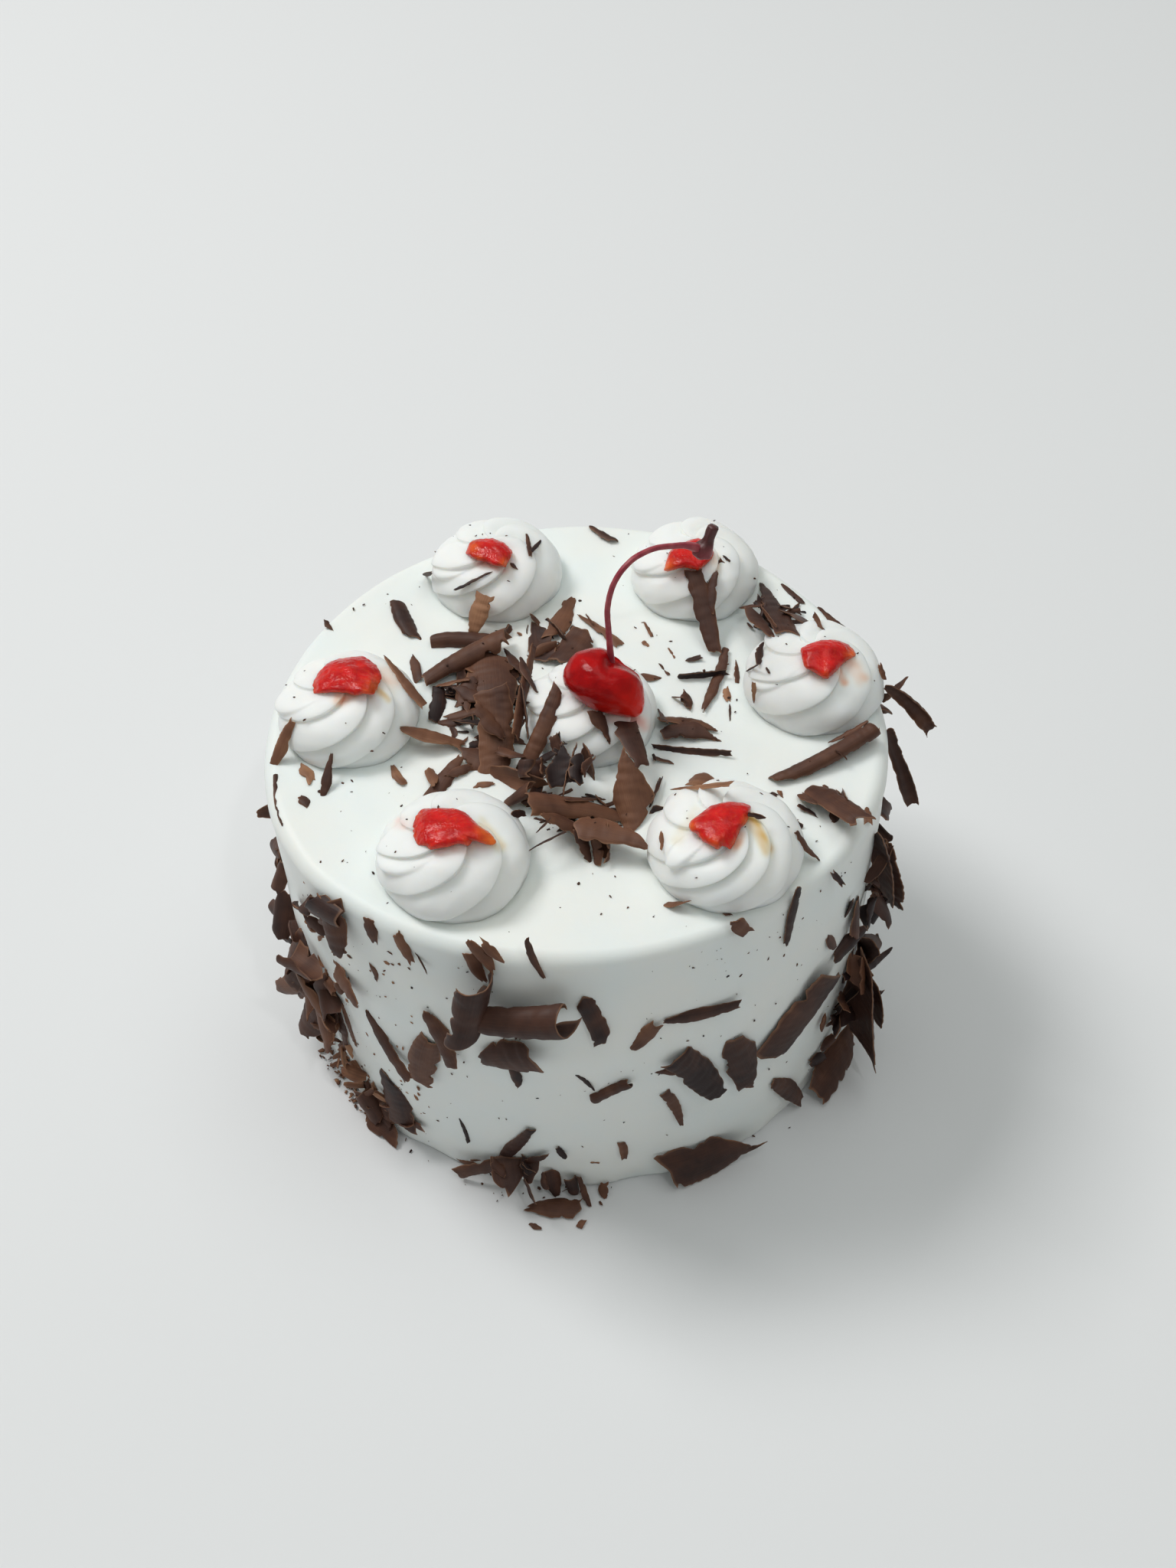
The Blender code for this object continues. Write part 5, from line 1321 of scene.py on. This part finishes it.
# The leaf that leans on the rosette: its foot and its tip over the top in mm, then as above
LEANING = (
    ((43.0, 26.0, 0.0), (38.0, 47.0, 13.0), 7.4, 0.5, 0.8, 60, 175, 0.28),
    ((41.5, 37.0, 7.5), (43.6, 47.5, 14.0), 4.0, 0.6, 0.3, 60, 150, 0.34),
)


def bed_of_bits(beds, seed):
    """Rows like those of the tables for bits that lie every way inside turned ellipses."""
    rng = np.random.default_rng(seed)
    rows = []
    for x, y, half_x, half_y, turn, count in beds:
        a = math.radians(turn)
        for _ in range(count):
            far, way = math.sqrt(rng.random()), rng.uniform(0, math.tau)
            p, q = far * half_x * math.cos(way), far * half_y * math.sin(way)
            at = np.array([x, y]) + [p * math.cos(a) - q * math.sin(a), p * math.sin(a) + q * math.cos(a)]
            long, heading = rng.uniform(*BIT_LONG), rng.uniform(0, math.tau)
            reach = long / 2 * np.array([math.cos(heading), math.sin(heading)])
            ends = rng.uniform(*BIT_ENDS, 2)
            wide = rng.uniform(*BIT_WIDE) * long
            roll, about, tone = rng.uniform(*BIT_ROLL), rng.choice(BIT_TURNS), rng.uniform(*BIT_TONE)
            rows.append((*(at - reach), *(at + reach), wide, *ends, roll, about, tone))
    return tuple(rows)


def lay_on_top(specs, seed):
    """Makes the shavings one after another and lets each down onto those before it. An end that
    comes to rest high up moves toward the viewer by SIGHT_SLOPE of its height, so it stays in view
    where the table has it. The heights depend on the move, so they are found in a few half steps."""
    rng = np.random.default_rng(seed)
    laid = []
    for x0, y0, x1, y1, width, end0, end1, roll, about, tone, *rise in specs:
        rises = np.array(rise or (0, 0), float)
        tilt_stays = rises.max() > 2
        plan = np.array([[x0, y0, 0], [x1, y1, 0]]) + [[0, 0, rises[0]], [0, 0, rises[1]]]
        length = np.linalg.norm(plan[1] - plan[0]) * MM
        sheet, edge, flat, lighter = curled_sheet(length, width * MM, (end0, end1), roll, about, rng)
        solid = solid_sheet(sheet, edge, thickness(width))
        high, least = rises.copy(), np.inf
        for _ in range(TRIES):
            ends = (plan - [0, 1, 0] * (SIGHT_SLOPE * high)[:, None]) * MM
            if not tilt_stays:
                ends[:, 2] = high * MM
            axes, reach = axes_between(ends[0], ends[1], UPWARD)
            base = (solid * [reach / length, 1, 1]) @ axes + ends.mean(axis=0) + [0, 0, CAKE_H + 0.05]
            down = settle_down(base, ground, axes[0], tilt_stays, SUNK_IN_CHIP)
            third = max(down.shape[1] // 4, 1)
            found = np.array([down[:, :third, :, 2].mean(), down[:, -third:, :, 2].mean()])
            missed = np.clip((found - CAKE_H) / MM, 0, 30) - high
            if np.abs(missed).max() < least:
                both, least = down, np.abs(missed).max()
            high += 0.5 * missed
        raise_to(ground, both)
        laid.append((both, edge, flat, tone + lighter))
    return laid


chocolate_piece("shavings_heap", lay_on_top(bed_of_bits(BEDS, 105) + HEAP, 101), ["chocolate_pile"])
right_rows = bed_of_bits(RIGHT_BEDS, 106) + RIGHT_HEAP
chocolate_piece("shavings_right_heap", lay_on_top(right_rows, 102), ["chocolate_pile_rim"])
single_nodes = ["top_curl_" + end for end in ("left_a", "right_a", "right_b", "right_c", "back_left")]
chocolate_piece("shavings_top", lay_on_top(SINGLES, 103), single_nodes + ["cake"])

rng = np.random.default_rng(104)
leaves = []
for foot, tip, *shape in LEANING:
    start, end = ((np.array(spot) + [0, 0, CAKE_H / MM]) * MM for spot in (foot, tip))
    (both, *rest), axes = shaving(start, end, UPWARD, shape, SHEET, rng)
    leaves.append((settle_down(both, ground, axes[0], True, SUNK_IN_CREAM), *rest))
chocolate_piece("shaving_leaning", leaves, ["top_leaf_back_right"])

# Bits caught on the fruit: the rosette, then both ends right of, above and in front of the middle
# of its fruit in mm, and then as above
ON_FRUIT = (
    ("left", -8.6, -4.6, 3.4, 0.9, -5.0, 4.2, 3.6, 0.7, 0.2, 60, 0, 0.12),
    ("left", -9.6, -2.6, 1.4, -8.4, -5.2, 2.4, 1.2, 0.5, 0.5, 60, 0, 0.0),
    ("front_right", 7.0, 2.7, 2.2, 11.9, 1.4, 3.0, 1.3, 1.0, 0.2, 120, 0, 0.0),
    ("back_right", 8.2, -1.8, 2.0, 10.6, -5.7, 2.0, 2.2, 0.7, 0.7, 90, 0, 0.30),
    ("front_left", 5.2, -0.4, 4.4, 6.2, -1.0, 4.4, 0.8, 0.5, 0.5, 60, 0, 0.1),
)
rng = np.random.default_rng(107)
caught = []
for key, a0, b0, c0, a1, b1, c1, *shape in ON_FRUIT:
    middle, sight = sight_frame(key)
    start, end = (np.array(spot) * MM @ sight + middle for spot in ((a0, b0, c0), (a1, b1, c1)))
    caught.append(shaving(start, end, sight[2], shape, 0.6 * SHEET, rng)[0])
chocolate_piece("shavings_on_fruit", caught, ["cake"])

# The shavings on the side
# Flakes and open rolls pressed by hand against the wet cream. Most hold on by one edge and stand
# off the wall elsewhere, and some have slid down to the foot.
# Angle from the front in degrees and height in mm of each end, the width seen, the share of it
# kept at each end, roll and turn about the length, tone, and how far each end stands off the wall
SIDE = (
    (-17.8, 102.0, -19.8, 82.0, 10.0, 0.8, 0.9, 230, 120, 0.20, 0.5, 4.0),
    (-16.4, 87.0, -2.8, 92.0, 8.2, 1.0, 1.0, 300, 180, 0.20, 1, 4),
    (-18.6, 65.0, -8.7, 72.0, 12.5, 0.3, 0.8, 90, 180, 0.04, 0, 3),
    (15.8, 66.0, 23.6, 41.5, 9.8, 0.9, 0.5, 80, 170, 0.10, 0, 2.5),
    (27.4, 60.4, 31.0, 37.0, 12.0, 0.4, 0.3, 70, 180, 0.14, 0, 2.5),
    (36.6, 42.5, 50.4, 59.5, 17.0, 0.8, 0.9, 60, 180, 0.10, 1, 3),
    (-29.4, 65.5, -31.4, 42.5, 10.5, 0.5, 0.6, 80, 175, 0.30, 0, 2.5),
    (-43.8, 59.8, -34.6, 42.2, 6.0, 0.3, 0.6, 90, 170, 0.24, 0, 3),
    (-48.0, 106.0, -44.6, 89.0, 9.5, 0.8, 0.4, 80, 170, 0.22, 0, 3),
    (-50.7, 71.0, -42.8, 69.0, 8.0, 0.6, 0.3, 90, 170, 0.28, 0, 3),
    (-41.5, 30.0, -37.2, 9.5, 13.0, 0.3, 0.7, 60, 175, 0.06, 0, 3),
    (76.0, 76.0, 78.0, 42.0, 13.0, 0.3, 0.8, 60, 110, 0.12, 1, 5),
    (68.0, 92.0, 69.0, 62.0, 10.0, 0.4, 0.7, 70, 130, 0.10, 0, 5),
    (61.0, 47.0, 58.0, 12.0, 20.0, 0.4, 0.7, 60, 128, 0.10, 1, 6),
    (-65.5, 60.0, -67.5, 38.0, 11.0, 0.4, 0.5, 90, 170, 0.20, 0, 8),
    (-63.0, 32.0, -65.0, 14.0, 12.0, 0.5, 0.5, 90, 170, 0.22, 0, 7),
    (-78.0, 75.0, -85.0, 67.0, 8.0, 0.5, 0.5, 120, 170, 0.16, 0, 3),
    (91.5, 115.5, 90.5, 99.0, 4.4, 0.5, 0.9, 170, 95, 0.22, 2, 16),
    (87.0, 105.0, 86.5, 73.0, 4.4, 0.5, 0.6, 170, 95, 0.18, 0, 11),
)
SLID_DOWN = (7, 16)
SIDE_NODES = ["side_curl_%02d" % n for n in range(1, 22) if n not in SLID_DOWN]
FLAKES = (
    (-28.4, 77.4, -23.2, 60.6, 6.5, 0.4, 0.5, 120, 170, 0.30, 0, 2),
    (-52.0, 51.0, -50.0, 32.0, 3.0, 0.4, 0.4, 60, 170, 0.26, 0, 0),
    (-47.3, 104.0, -46.4, 98.0, 3.0, 0.4, 0.4, 60, 170, 0.3, 0, 0),
    (-39.6, 106.0, -38.5, 98.6, 4.6, 0.7, 0.3, 60, 170, 0.34, 0, 1),
    (-34.0, 106.0, -31.0, 96.8, 4.8, 0.6, 0.3, 60, 170, 0.36, 0, 1),
    (-30.6, 100.5, -27.8, 95.3, 1.0, 0.5, 0.4, 60, 60, 0.1, 0, 2),
    (-20.0, 106.5, -17.7, 97.9, 4.6, 0.7, 0.3, 60, 170, 0.3, 0, 1),
    (0.3, 91.8, 3.2, 78.4, 6.4, 0.8, 0.8, 60, 170, 0.04, 0, 1.5),
    (8.2, 71.2, 12.6, 80.3, 4.8, 0.4, 0.8, 60, 170, 0.40, 0, 1),
    (14.0, 79.6, 28.0, 78.0, 4.4, 0.25, 0.5, 60, 170, 0.06, 0, 1),
    (41.1, 111.5, 39.0, 90.5, 4.4, 0.4, 0.4, 60, 170, 0.04, 0, 0.5),
    (14.4, 47.2, 17.7, 28.5, 4.0, 0.8, 0.2, 60, 170, 0.30, 0, 1),
    (66.0, 36.0, 64.0, 14.0, 15.0, 0.3, 0.8, 70, 110, 0.16, 2, 8),
    (60.0, 40.0, 72.0, 31.0, 4.0, 0.6, 0.2, 60, 150, 0.04, 2, 12),
    (56.0, 24.0, 68.0, 19.0, 5.5, 0.8, 0.2, 60, 150, 0.10, 3, 11),
    (53.0, 62.0, 60.0, 66.0, 5.0, 0.4, 0.4, 160, 150, -0.04, 1, 4),
    (38.2, 24.0, 46.0, 2.0, 7.0, 0.4, 0.5, 60, 170, 0.12, 0, 2),
    (12.4, 58.4, 16.5, 57.0, 3.2, 0.2, 0.8, 60, 170, 0.24, 0, 1),
    (-12.9, 63.0, -12.0, 55.0, 3.4, 0.8, 0.4, 60, 170, 0.02, 0, 1),
    (-19.6, 112.5, -15.0, 103.0, 5.2, 0.4, 0.3, 60, 170, 0.44, 0, 1.0),
    (-17.4, 113.0, -14.0, 107.0, 3.6, 0.4, 0.3, 60, 170, 0.50, 0, 0.6),
    (-9.5, 116.5, -6.8, 101.0, 2.8, 0.5, 0.4, 60, 170, 0.26, 0, 0.5),
    (27.2, 112.0, 30.0, 104.5, 4.6, 0.4, 0.8, 60, 170, 0.30, 0, 0.6),
    (6.0, 24.0, 6.4, 15.0, 2.8, 0.8, 0.5, 60, 170, 0.3, 0, 0.5),
    (-2.5, 64.0, 1.5, 55.0, 1.8, 0.4, 0.2, 60, 170, 0.12, 0, 1),
    (1.0, 50.0, 7.5, 58.0, 3.4, 0.8, 0.9, 200, 170, 0.22, 0, 1),
    (-54.5, 48.0, -53.0, 25.0, 3.4, 0.4, 0.4, 60, 170, 0.2, 0, 1),
    (-40.2, 85.5, -39.2, 80.5, 2.6, 0.5, 0.3, 60, 170, 0.3, 0, 0),
    (-24.8, 27.5, -23.4, 15.0, 1.4, 0.3, 0.8, 120, 170, -0.02, 0, 0.5),
    (-10.4, 32.5, -17.8, 9.0, 4.6, 0.6, 0.3, 60, 175, -0.05, 1, 1),
    (-8.0, 20.5, -13.8, 9.5, 3.8, 0.15, 0.6, 120, 160, 0.14, 2.5, 1.5),
    (-6.2, 23.0, -4.7, 18.6, 1.8, 0.4, 0.6, 200, 150, 0.0, 0, 0.5),
    (0.0, 13.6, 1.6, 13.2, 1.0, 0.6, 0.6, 60, 170, 0.55, 0, 0),
    (93.0, 107.0, 92.5, 116.5, 3.6, 0.8, 0.2, 80, 170, 0.24, -1.5, 4.5),
    (-57.0, 50.0, -56.5, 30.0, 3.6, 0.3, 0.4, 60, 170, 0.24, 0, 1),
    (50.0, 77.0, 52.5, 69.0, 4.0, 0.5, 0.3, 60, 170, 0.24, 0, 1),
)
BACK_NODES = ["back_curl_%02d" % n for n in range(1, 8)]
BACK_ROLL, BACK_TURN, BACK_TONE = (60, 120), (150, 200), (0.12, 0.34)


def wall_point(angle, height, off):
    """The point at an angle from the front and a height, off this far outside the wall."""
    a = math.radians(angle)
    return np.array([(CAKE_R + off * MM) * math.sin(a), -(CAKE_R + off * MM) * math.cos(a), height * MM])


def outward_between(angle0, angle1):
    """The level way out of the wall, midway between two angles from the front in degrees."""
    middle = math.radians((angle0 + angle1) / 2)
    return np.array([math.sin(middle), -math.cos(middle), 0])


def lay_on_side(specs, seed, step=1):
    """Makes shavings against the wall and presses each straight in until it sinks into the cream.
    Small ones keep every second row and column of their grid, as the step says."""
    rng = np.random.default_rng(seed)
    laid = []
    for a0, z0, a1, z1, *shape, off0, off1 in specs:
        start, end = wall_point(a0, z0, off0 + 3), wall_point(a1, z1, off1 + 3)
        outward = outward_between(a0, a1)
        (both, *rest), _ = shaving(start, end, outward, shape, thickness(shape[0]), rng, step)
        both = press_in(both, outward)
        laid.append((both + UPWARD * max(0.0, 0.3 * MM - both[..., 2].min()), *rest))
    return laid


chocolate_piece("shavings_side", lay_on_side(SIDE, 111), SIDE_NODES)
chocolate_piece("flakes_side", lay_on_side(FLAKES, 112), ["cake"])

# Where the flakes cling in thick patches: middle angle and height, how far they spread in degrees
# and mm, how many, their longest in mm, how far the outer end may stand off, and the mean tone
PATCHES = (
    (-51.5, 94, 3.0, 10, 9, 15, 3, 0.14),
    (-59, 50, 5, 16, 11, 15, 5, 0.32),
    (-72, 40, 6, 16, 12, 17, 8, 0.26),
    (-79, 76, 4, 6, 4, 12, 5, 0.20),
    (-57, 18, 6, 9, 26, 8, 5, 0.52),
    (-46, 8, 5, 5, 14, 11, 4, 0.24),
    (-40, 12, 3, 7, 4, 7, 2, 0.40),
    (-55, 70, 5, 14, 14, 5, 1, 0.60),
    (65, 72, 5, 15, 7, 14, 4, 0.10),
    (64, 34, 5, 14, 9, 16, 6, 0.14),
    (54, 22, 4, 12, 6, 10, 3, 0.16),
    (79, 52, 5, 18, 10, 13, 8, 0.16),
    (108, 58, 9, 34, 11, 12, 3, 0.20),
    (140, 34, 12, 24, 12, 13, 3, 0.24),
    (172, 66, 12, 28, 12, 12, 3, 0.18),
    (205, 38, 12, 26, 13, 13, 3, 0.24),
    (238, 64, 10, 28, 13, 12, 3, 0.22),
    (262, 36, 7, 24, 12, 13, 4, 0.24),
    (120, 9, 12, 5, 8, 10, 4, 0.30),
    (190, 9, 16, 5, 10, 10, 4, 0.30),
    (250, 10, 12, 6, 12, 10, 4, 0.34),
)
# How high and low a flake may reach and its middle may lie, then what each flake draws: its
# length as a share of the longest, its ends, its width as a share, roll, turn and tone
PATCH_TOP, PATCH_BOTTOM, PATCH_LOWEST = 108.0, 1.5, 4.0
PATCH_LONG, PATCH_ENDS, PATCH_WIDE = (0.4, 1.0), (0.15, 0.9), (0.3, 0.75)
PATCH_ROLL, PATCH_TURN, PATCH_TONE = (60, 220), (110, 200), (-0.14, 0.16)
rng = np.random.default_rng(115)
patches = []
for angle, height, wide, tall, count, longest, off, tone in PATCHES:
    for _ in range(count):
        a, z = angle + wide * rng.normal(), max(height + tall * rng.uniform(-1, 1), PATCH_LOWEST)
        long, tilt = longest * rng.uniform(*PATCH_LONG), rng.uniform(0, math.pi)
        turn = math.degrees(0.5 * long * MM * math.cos(tilt) / CAKE_R)
        rise = 0.5 * long * math.sin(tilt)
        ends, offs = rng.uniform(*PATCH_ENDS, 2), rng.permutation([0.0, off * rng.random()])
        wide_here = long * rng.uniform(*PATCH_WIDE)
        shape = (wide_here, *ends, rng.uniform(*PATCH_ROLL), rng.uniform(*PATCH_TURN))
        top, bottom = min(z + rise, PATCH_TOP), max(z - rise, PATCH_BOTTOM)
        patches.append((a - turn, top, a + turn, bottom, *shape, tone + rng.uniform(*PATCH_TONE), *offs))
chocolate_piece("flakes_in_patches", lay_on_side(patches, 116, 2), ["cake"])

rng = np.random.default_rng(113)
back = []
for node in BACK_NODES:
    low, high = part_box(node)
    centre = (low + high) / 2
    angle = math.degrees(math.atan2(centre.x, -centre.y))
    tall = (high.z - low.z) / MM
    skew = rng.uniform(-2, 2)
    z0, z1 = low.z / MM + 1, high.z / MM - 1
    wide = min(tall * 0.45, 10)
    ends = rng.uniform(0.2, 0.9, 2)
    shape = (wide, *ends, rng.uniform(*BACK_ROLL), rng.uniform(*BACK_TURN), rng.uniform(*BACK_TONE))
    back.append((angle - skew, z1, angle + skew, z0, *shape, 0, 2))
chocolate_piece("shavings_back", lay_on_side(back, 114), BACK_NODES)

# The shavings at the foot
# Some slid off the wall and lean out against it with their lower edge down. Before the front, chips
# lie in a small pile on the level ground round the cake.
FOOT = (
    (14.4, 8.6, 32.0, 8.4, 13.6, 0.95, 0.1, 50, 180, 0.22, 20),
    (47.5, 8.5, 63.0, 8.5, 15.0, 0.5, 0.4, 70, 180, 0.20, 42),
    (-48.3, 4.5, -39.5, 4.0, 8.0, 0.4, 0.5, 50, 180, 0.20, 60),
)
# The pile before the front: both ends as x, y and height in mm, then width, ends, roll, turn and
# tone as above, and 1 where it rests on the wall rather than on the pile
FRONT_PILE = (
    (-41.5, -82.6, 1.2, -33.5, -86.2, 2.6, 3.0, 0.6, 0.5, 60, 180, 0.46, 1),
    (-37.2, -83.8, 4.0, -33.4, -85.2, 6.5, 1.0, 0.5, 0.4, 60, 180, 0.50, 1),
    (-41.6, -86.8, 0.8, -19.6, -88.9, 10.4, 5.8, 0.9, 0.8, 60, 180, 0.30, 1),
    (-25.6, -87.8, 4.2, -23.4, -96.8, 0.4, 10.5, 1.0, 0.05, 30, 180, 0.22, 0),
    (-18.0, -87.8, 5.5, -18.4, -93.6, 0.4, 5.2, 0.9, 0.5, 60, 180, 0.12, 0),
    (-20.4, -90.6, 4.6, -17.4, -93.2, 3.2, 2.6, 0.6, 0.6, 220, 90, -0.04, 0),
    (-11.8, -90.0, 8.6, -10.8, -93.0, 0.4, 5.2, 1.0, 0.6, 60, 180, 0.27, 0),
    (-6.9, -90.6, 6.4, -6.2, -93.0, 0.4, 4.4, 0.8, 0.9, 280, 100, 0.10, 0),
    (-3.8, -90.8, 6.8, -1.2, -97.2, 0.4, 2.7, 0.4, 0.4, 60, 180, 0.40, 0),
    (3.7, -90.9, 3.6, 3.2, -94.6, 0.4, 3.2, 0.8, 0.3, 60, 180, 0.42, 0),
    (-18.8, -97.0, 1.4, -4.2, -98.2, 1.8, 7.2, 0.3, 0.9, 50, 180, 0.34, 0),
    (-19.8, -93.4, 1.8, -16.6, -101.4, 0.6, 1.5, 0.8, 0.2, 60, 60, 0.02, 0),
    (-19.0, -102.0, 0.5, -15.4, -104.0, 0.5, 1.8, 0.3, 0.4, 70, 180, 0.30, 0),
    (-2.6, -101.4, 0.5, -4.4, -104.4, 0.5, 2.3, 0.7, 0.7, 60, 180, 0.46, 0),
    (-29.0, -88.8, 2.4, -25.6, -92.6, 0.4, 3.4, 0.6, 0.4, 60, 180, 0.20, 0),
    (-14.6, -90.8, 3.4, -13.8, -94.6, 0.4, 2.4, 0.4, 0.6, 60, 180, 0.16, 0),
)
FOOT_NODES = ["side_curl_%02d" % n for n in SLID_DOWN] + ["foot_curl_%02d" % n for n in range(1, 5)]


def lay_at_foot(specs, seed):
    """Shavings whose lower edge leans out from the wall by a lean in degrees."""
    rng = np.random.default_rng(seed)
    laid = []
    for a0, z0, a1, z1, *shape, lean in specs:
        outward = outward_between(a0, a1)
        a = math.radians(lean)
        out = outward * math.cos(a) + UPWARD * math.sin(a)
        (both, *rest), _ = shaving(wall_point(a0, z0, 2), wall_point(a1, z1, 2), out, shape, SHEET, rng)
        both = both + UPWARD * (0.1 * MM - both[..., 2].min())
        laid.append((press_in(both, outward), *rest))
    return laid


def pile_before_front(specs, seed):
    """Lets each chip down on the level ground or on those before it. One that rests on the wall
    keeps its height and is pressed in until it touches."""
    rng = np.random.default_rng(seed)
    heights = np.zeros((FIELD_CELLS, FIELD_CELLS))
    laid = []
    for x0, y0, z0, x1, y1, z1, *shape, on_wall in specs:
        start, end = np.array([x0, y0, z0]) * MM, np.array([x1, y1, z1]) * MM
        middle = (start + end) / 2
        outward = middle * [1, 1, 0] / np.hypot(middle[0], middle[1])
        out, thick = outward if on_wall else UPWARD, thickness(shape[0], 0.3)
        (both, *rest), axes = shaving(start, end, out, shape, thick, rng)
        both = press_in(both, outward) if on_wall else settle_down(both, heights, axes[0], True, 0.0)
        clear = (0.1 if on_wall else 0.02) * MM
        both = both + UPWARD * max(0.0, clear - both[..., 2].min())
        raise_to(heights, both)
        laid.append((both, *rest))
    return laid


chocolate_piece("shavings_foot", lay_at_foot(FOOT, 121) + pile_before_front(FRONT_PILE, 122), FOOT_NODES)

# Specks and crumbs
# Dust and crumbs that fell with the shavings: angular bits from a third of a millimetre to two,
# thick on the top and the front, and a drift of lighter crumbs round the foot at the left.
SPECK_SIDES, SPECK_POWER, SPECK_TALL = 5, 1.2, 0.3
SPECK_REACH, SPECK_STRETCH, SPECK_BEND = (0.55, 1.1), (0.25, 0.75), (-0.12, 0.2)
# Count, where (top, or a range of angles and heights on the wall, or of angles at the foot),
# smallest and largest size in mm, and the darkest and lightest tone
SPECKS = (
    ("top", 170, None, (0.28, 0.95), (0.0, 0.4)),
    ("wall", 150, ((-60, 60), (58, 104)), (0.26, 0.95), (-0.05, 0.4)),
    ("wall", 55, ((-60, 70), (4, 58)), (0.26, 0.9), (-0.05, 0.4)),
    ("wall", 120, ((75, 285), (5, 104)), (0.22, 1.0), (-0.1, 0.35)),
    ("wall", 90, ((-62, -30), (14, 104)), (0.4, 1.5), (0.35, 0.85)),
    ("foot", 90, ((-66, -42), (90.2, 95)), (0.4, 1.7), (0.35, 0.8)),
    ("foot", 14, ((-26, 2), (90.2, 99)), (0.3, 1.3), (0.2, 0.5)),
    ("foot", 24, ((-75, 285), (90.2, 96)), (0.3, 1.2), (0.0, 0.4)),
)


def specks(rng, kind, count, ranges, sizes, tones):
    """Middles, sizes, tones and the way out of the surface for a scatter of specks. Small ones are
    the most common, as size = small * (large / small)^(random^power)."""
    size = sizes[0] * (sizes[1] / sizes[0]) ** (rng.random(count) ** SPECK_POWER) * MM
    tone = rng.uniform(*tones, count)
    if kind == "top":
        r, a = (CAKE_R - 3 * MM) * np.sqrt(rng.random(count)), rng.uniform(0, math.tau, count)
        flat = np.stack([r * np.cos(a), r * np.sin(a)], -1)
        middle = np.concatenate([flat, (ground[cells(flat)] + 0.15 * size)[:, None]], 1)
        return middle, size, tone, np.tile(UPWARD, (count, 1))
    a = np.radians(rng.uniform(*ranges[0], count))
    out = np.stack([np.sin(a), -np.cos(a), 0 * a], -1)
    if kind == "wall":
        height = rng.uniform(*ranges[1], count)[:, None] * MM
        return out * (CAKE_R + 0.1 * size)[:, None] + height * UPWARD, size, tone, out
    far = rng.uniform(*ranges[1], count) * MM
    middle = out * far[:, None] + (0.35 * size)[:, None] * UPWARD
    return middle, size, tone, np.tile(UPWARD, (count, 1))


def speck_mesh(rng, middle, size, tone, out):
    """Every speck is a squat double cone with a bent rim of SPECK_SIDES corners."""
    count = len(size)
    side = np.cross(out, rng.normal(size=(count, 3)))
    side /= np.linalg.norm(side, axis=1, keepdims=True)
    over = np.cross(out, side)
    turn = np.arange(SPECK_SIDES) / SPECK_SIDES * math.tau
    reach = size[:, None] * rng.uniform(*SPECK_REACH, (count, SPECK_SIDES))
    stretch = rng.uniform(*SPECK_STRETCH, count)[:, None]
    rim = middle[:, None] + (reach * np.cos(turn))[..., None] * side[:, None]
    rim = rim + (reach * stretch * np.sin(turn))[..., None] * over[:, None]
    rim = rim + (size[:, None] * rng.uniform(*SPECK_BEND, (count, SPECK_SIDES)))[..., None] * out[:, None]
    tall = (SPECK_TALL * size)[:, None] * out
    points = np.concatenate([rim, (middle - tall)[:, None], (middle + tall)[:, None]], axis=1)
    i = np.arange(SPECK_SIDES)
    j = (i + 1) % SPECK_SIDES
    fans = [np.stack([j, i, i * 0 + SPECK_SIDES], -1), np.stack([i, j, i * 0 + SPECK_SIDES + 1], -1)]
    faces = np.concatenate(fans)[None] + (np.arange(count) * (SPECK_SIDES + 2))[:, None, None]
    return points.reshape(-1, 3), faces.reshape(-1, 3), np.repeat(tone, SPECK_SIDES + 2)


rng = np.random.default_rng(131)
meshes, start = [], 0
for spec in SPECKS:
    points, faces, tone = speck_mesh(rng, *specks(rng, *spec))
    meshes.append((points, faces + start, tone))
    start += len(points)
points, faces, tone = (np.concatenate(part) for part in zip(*meshes))
speck_values = {"tone": tone, "thin": 0 * tone}
flat = points[:, :2]
piece("chocolate_specks", lean_back(points), faces, CHOCOLATE, ["cake"], speck_values, flat)
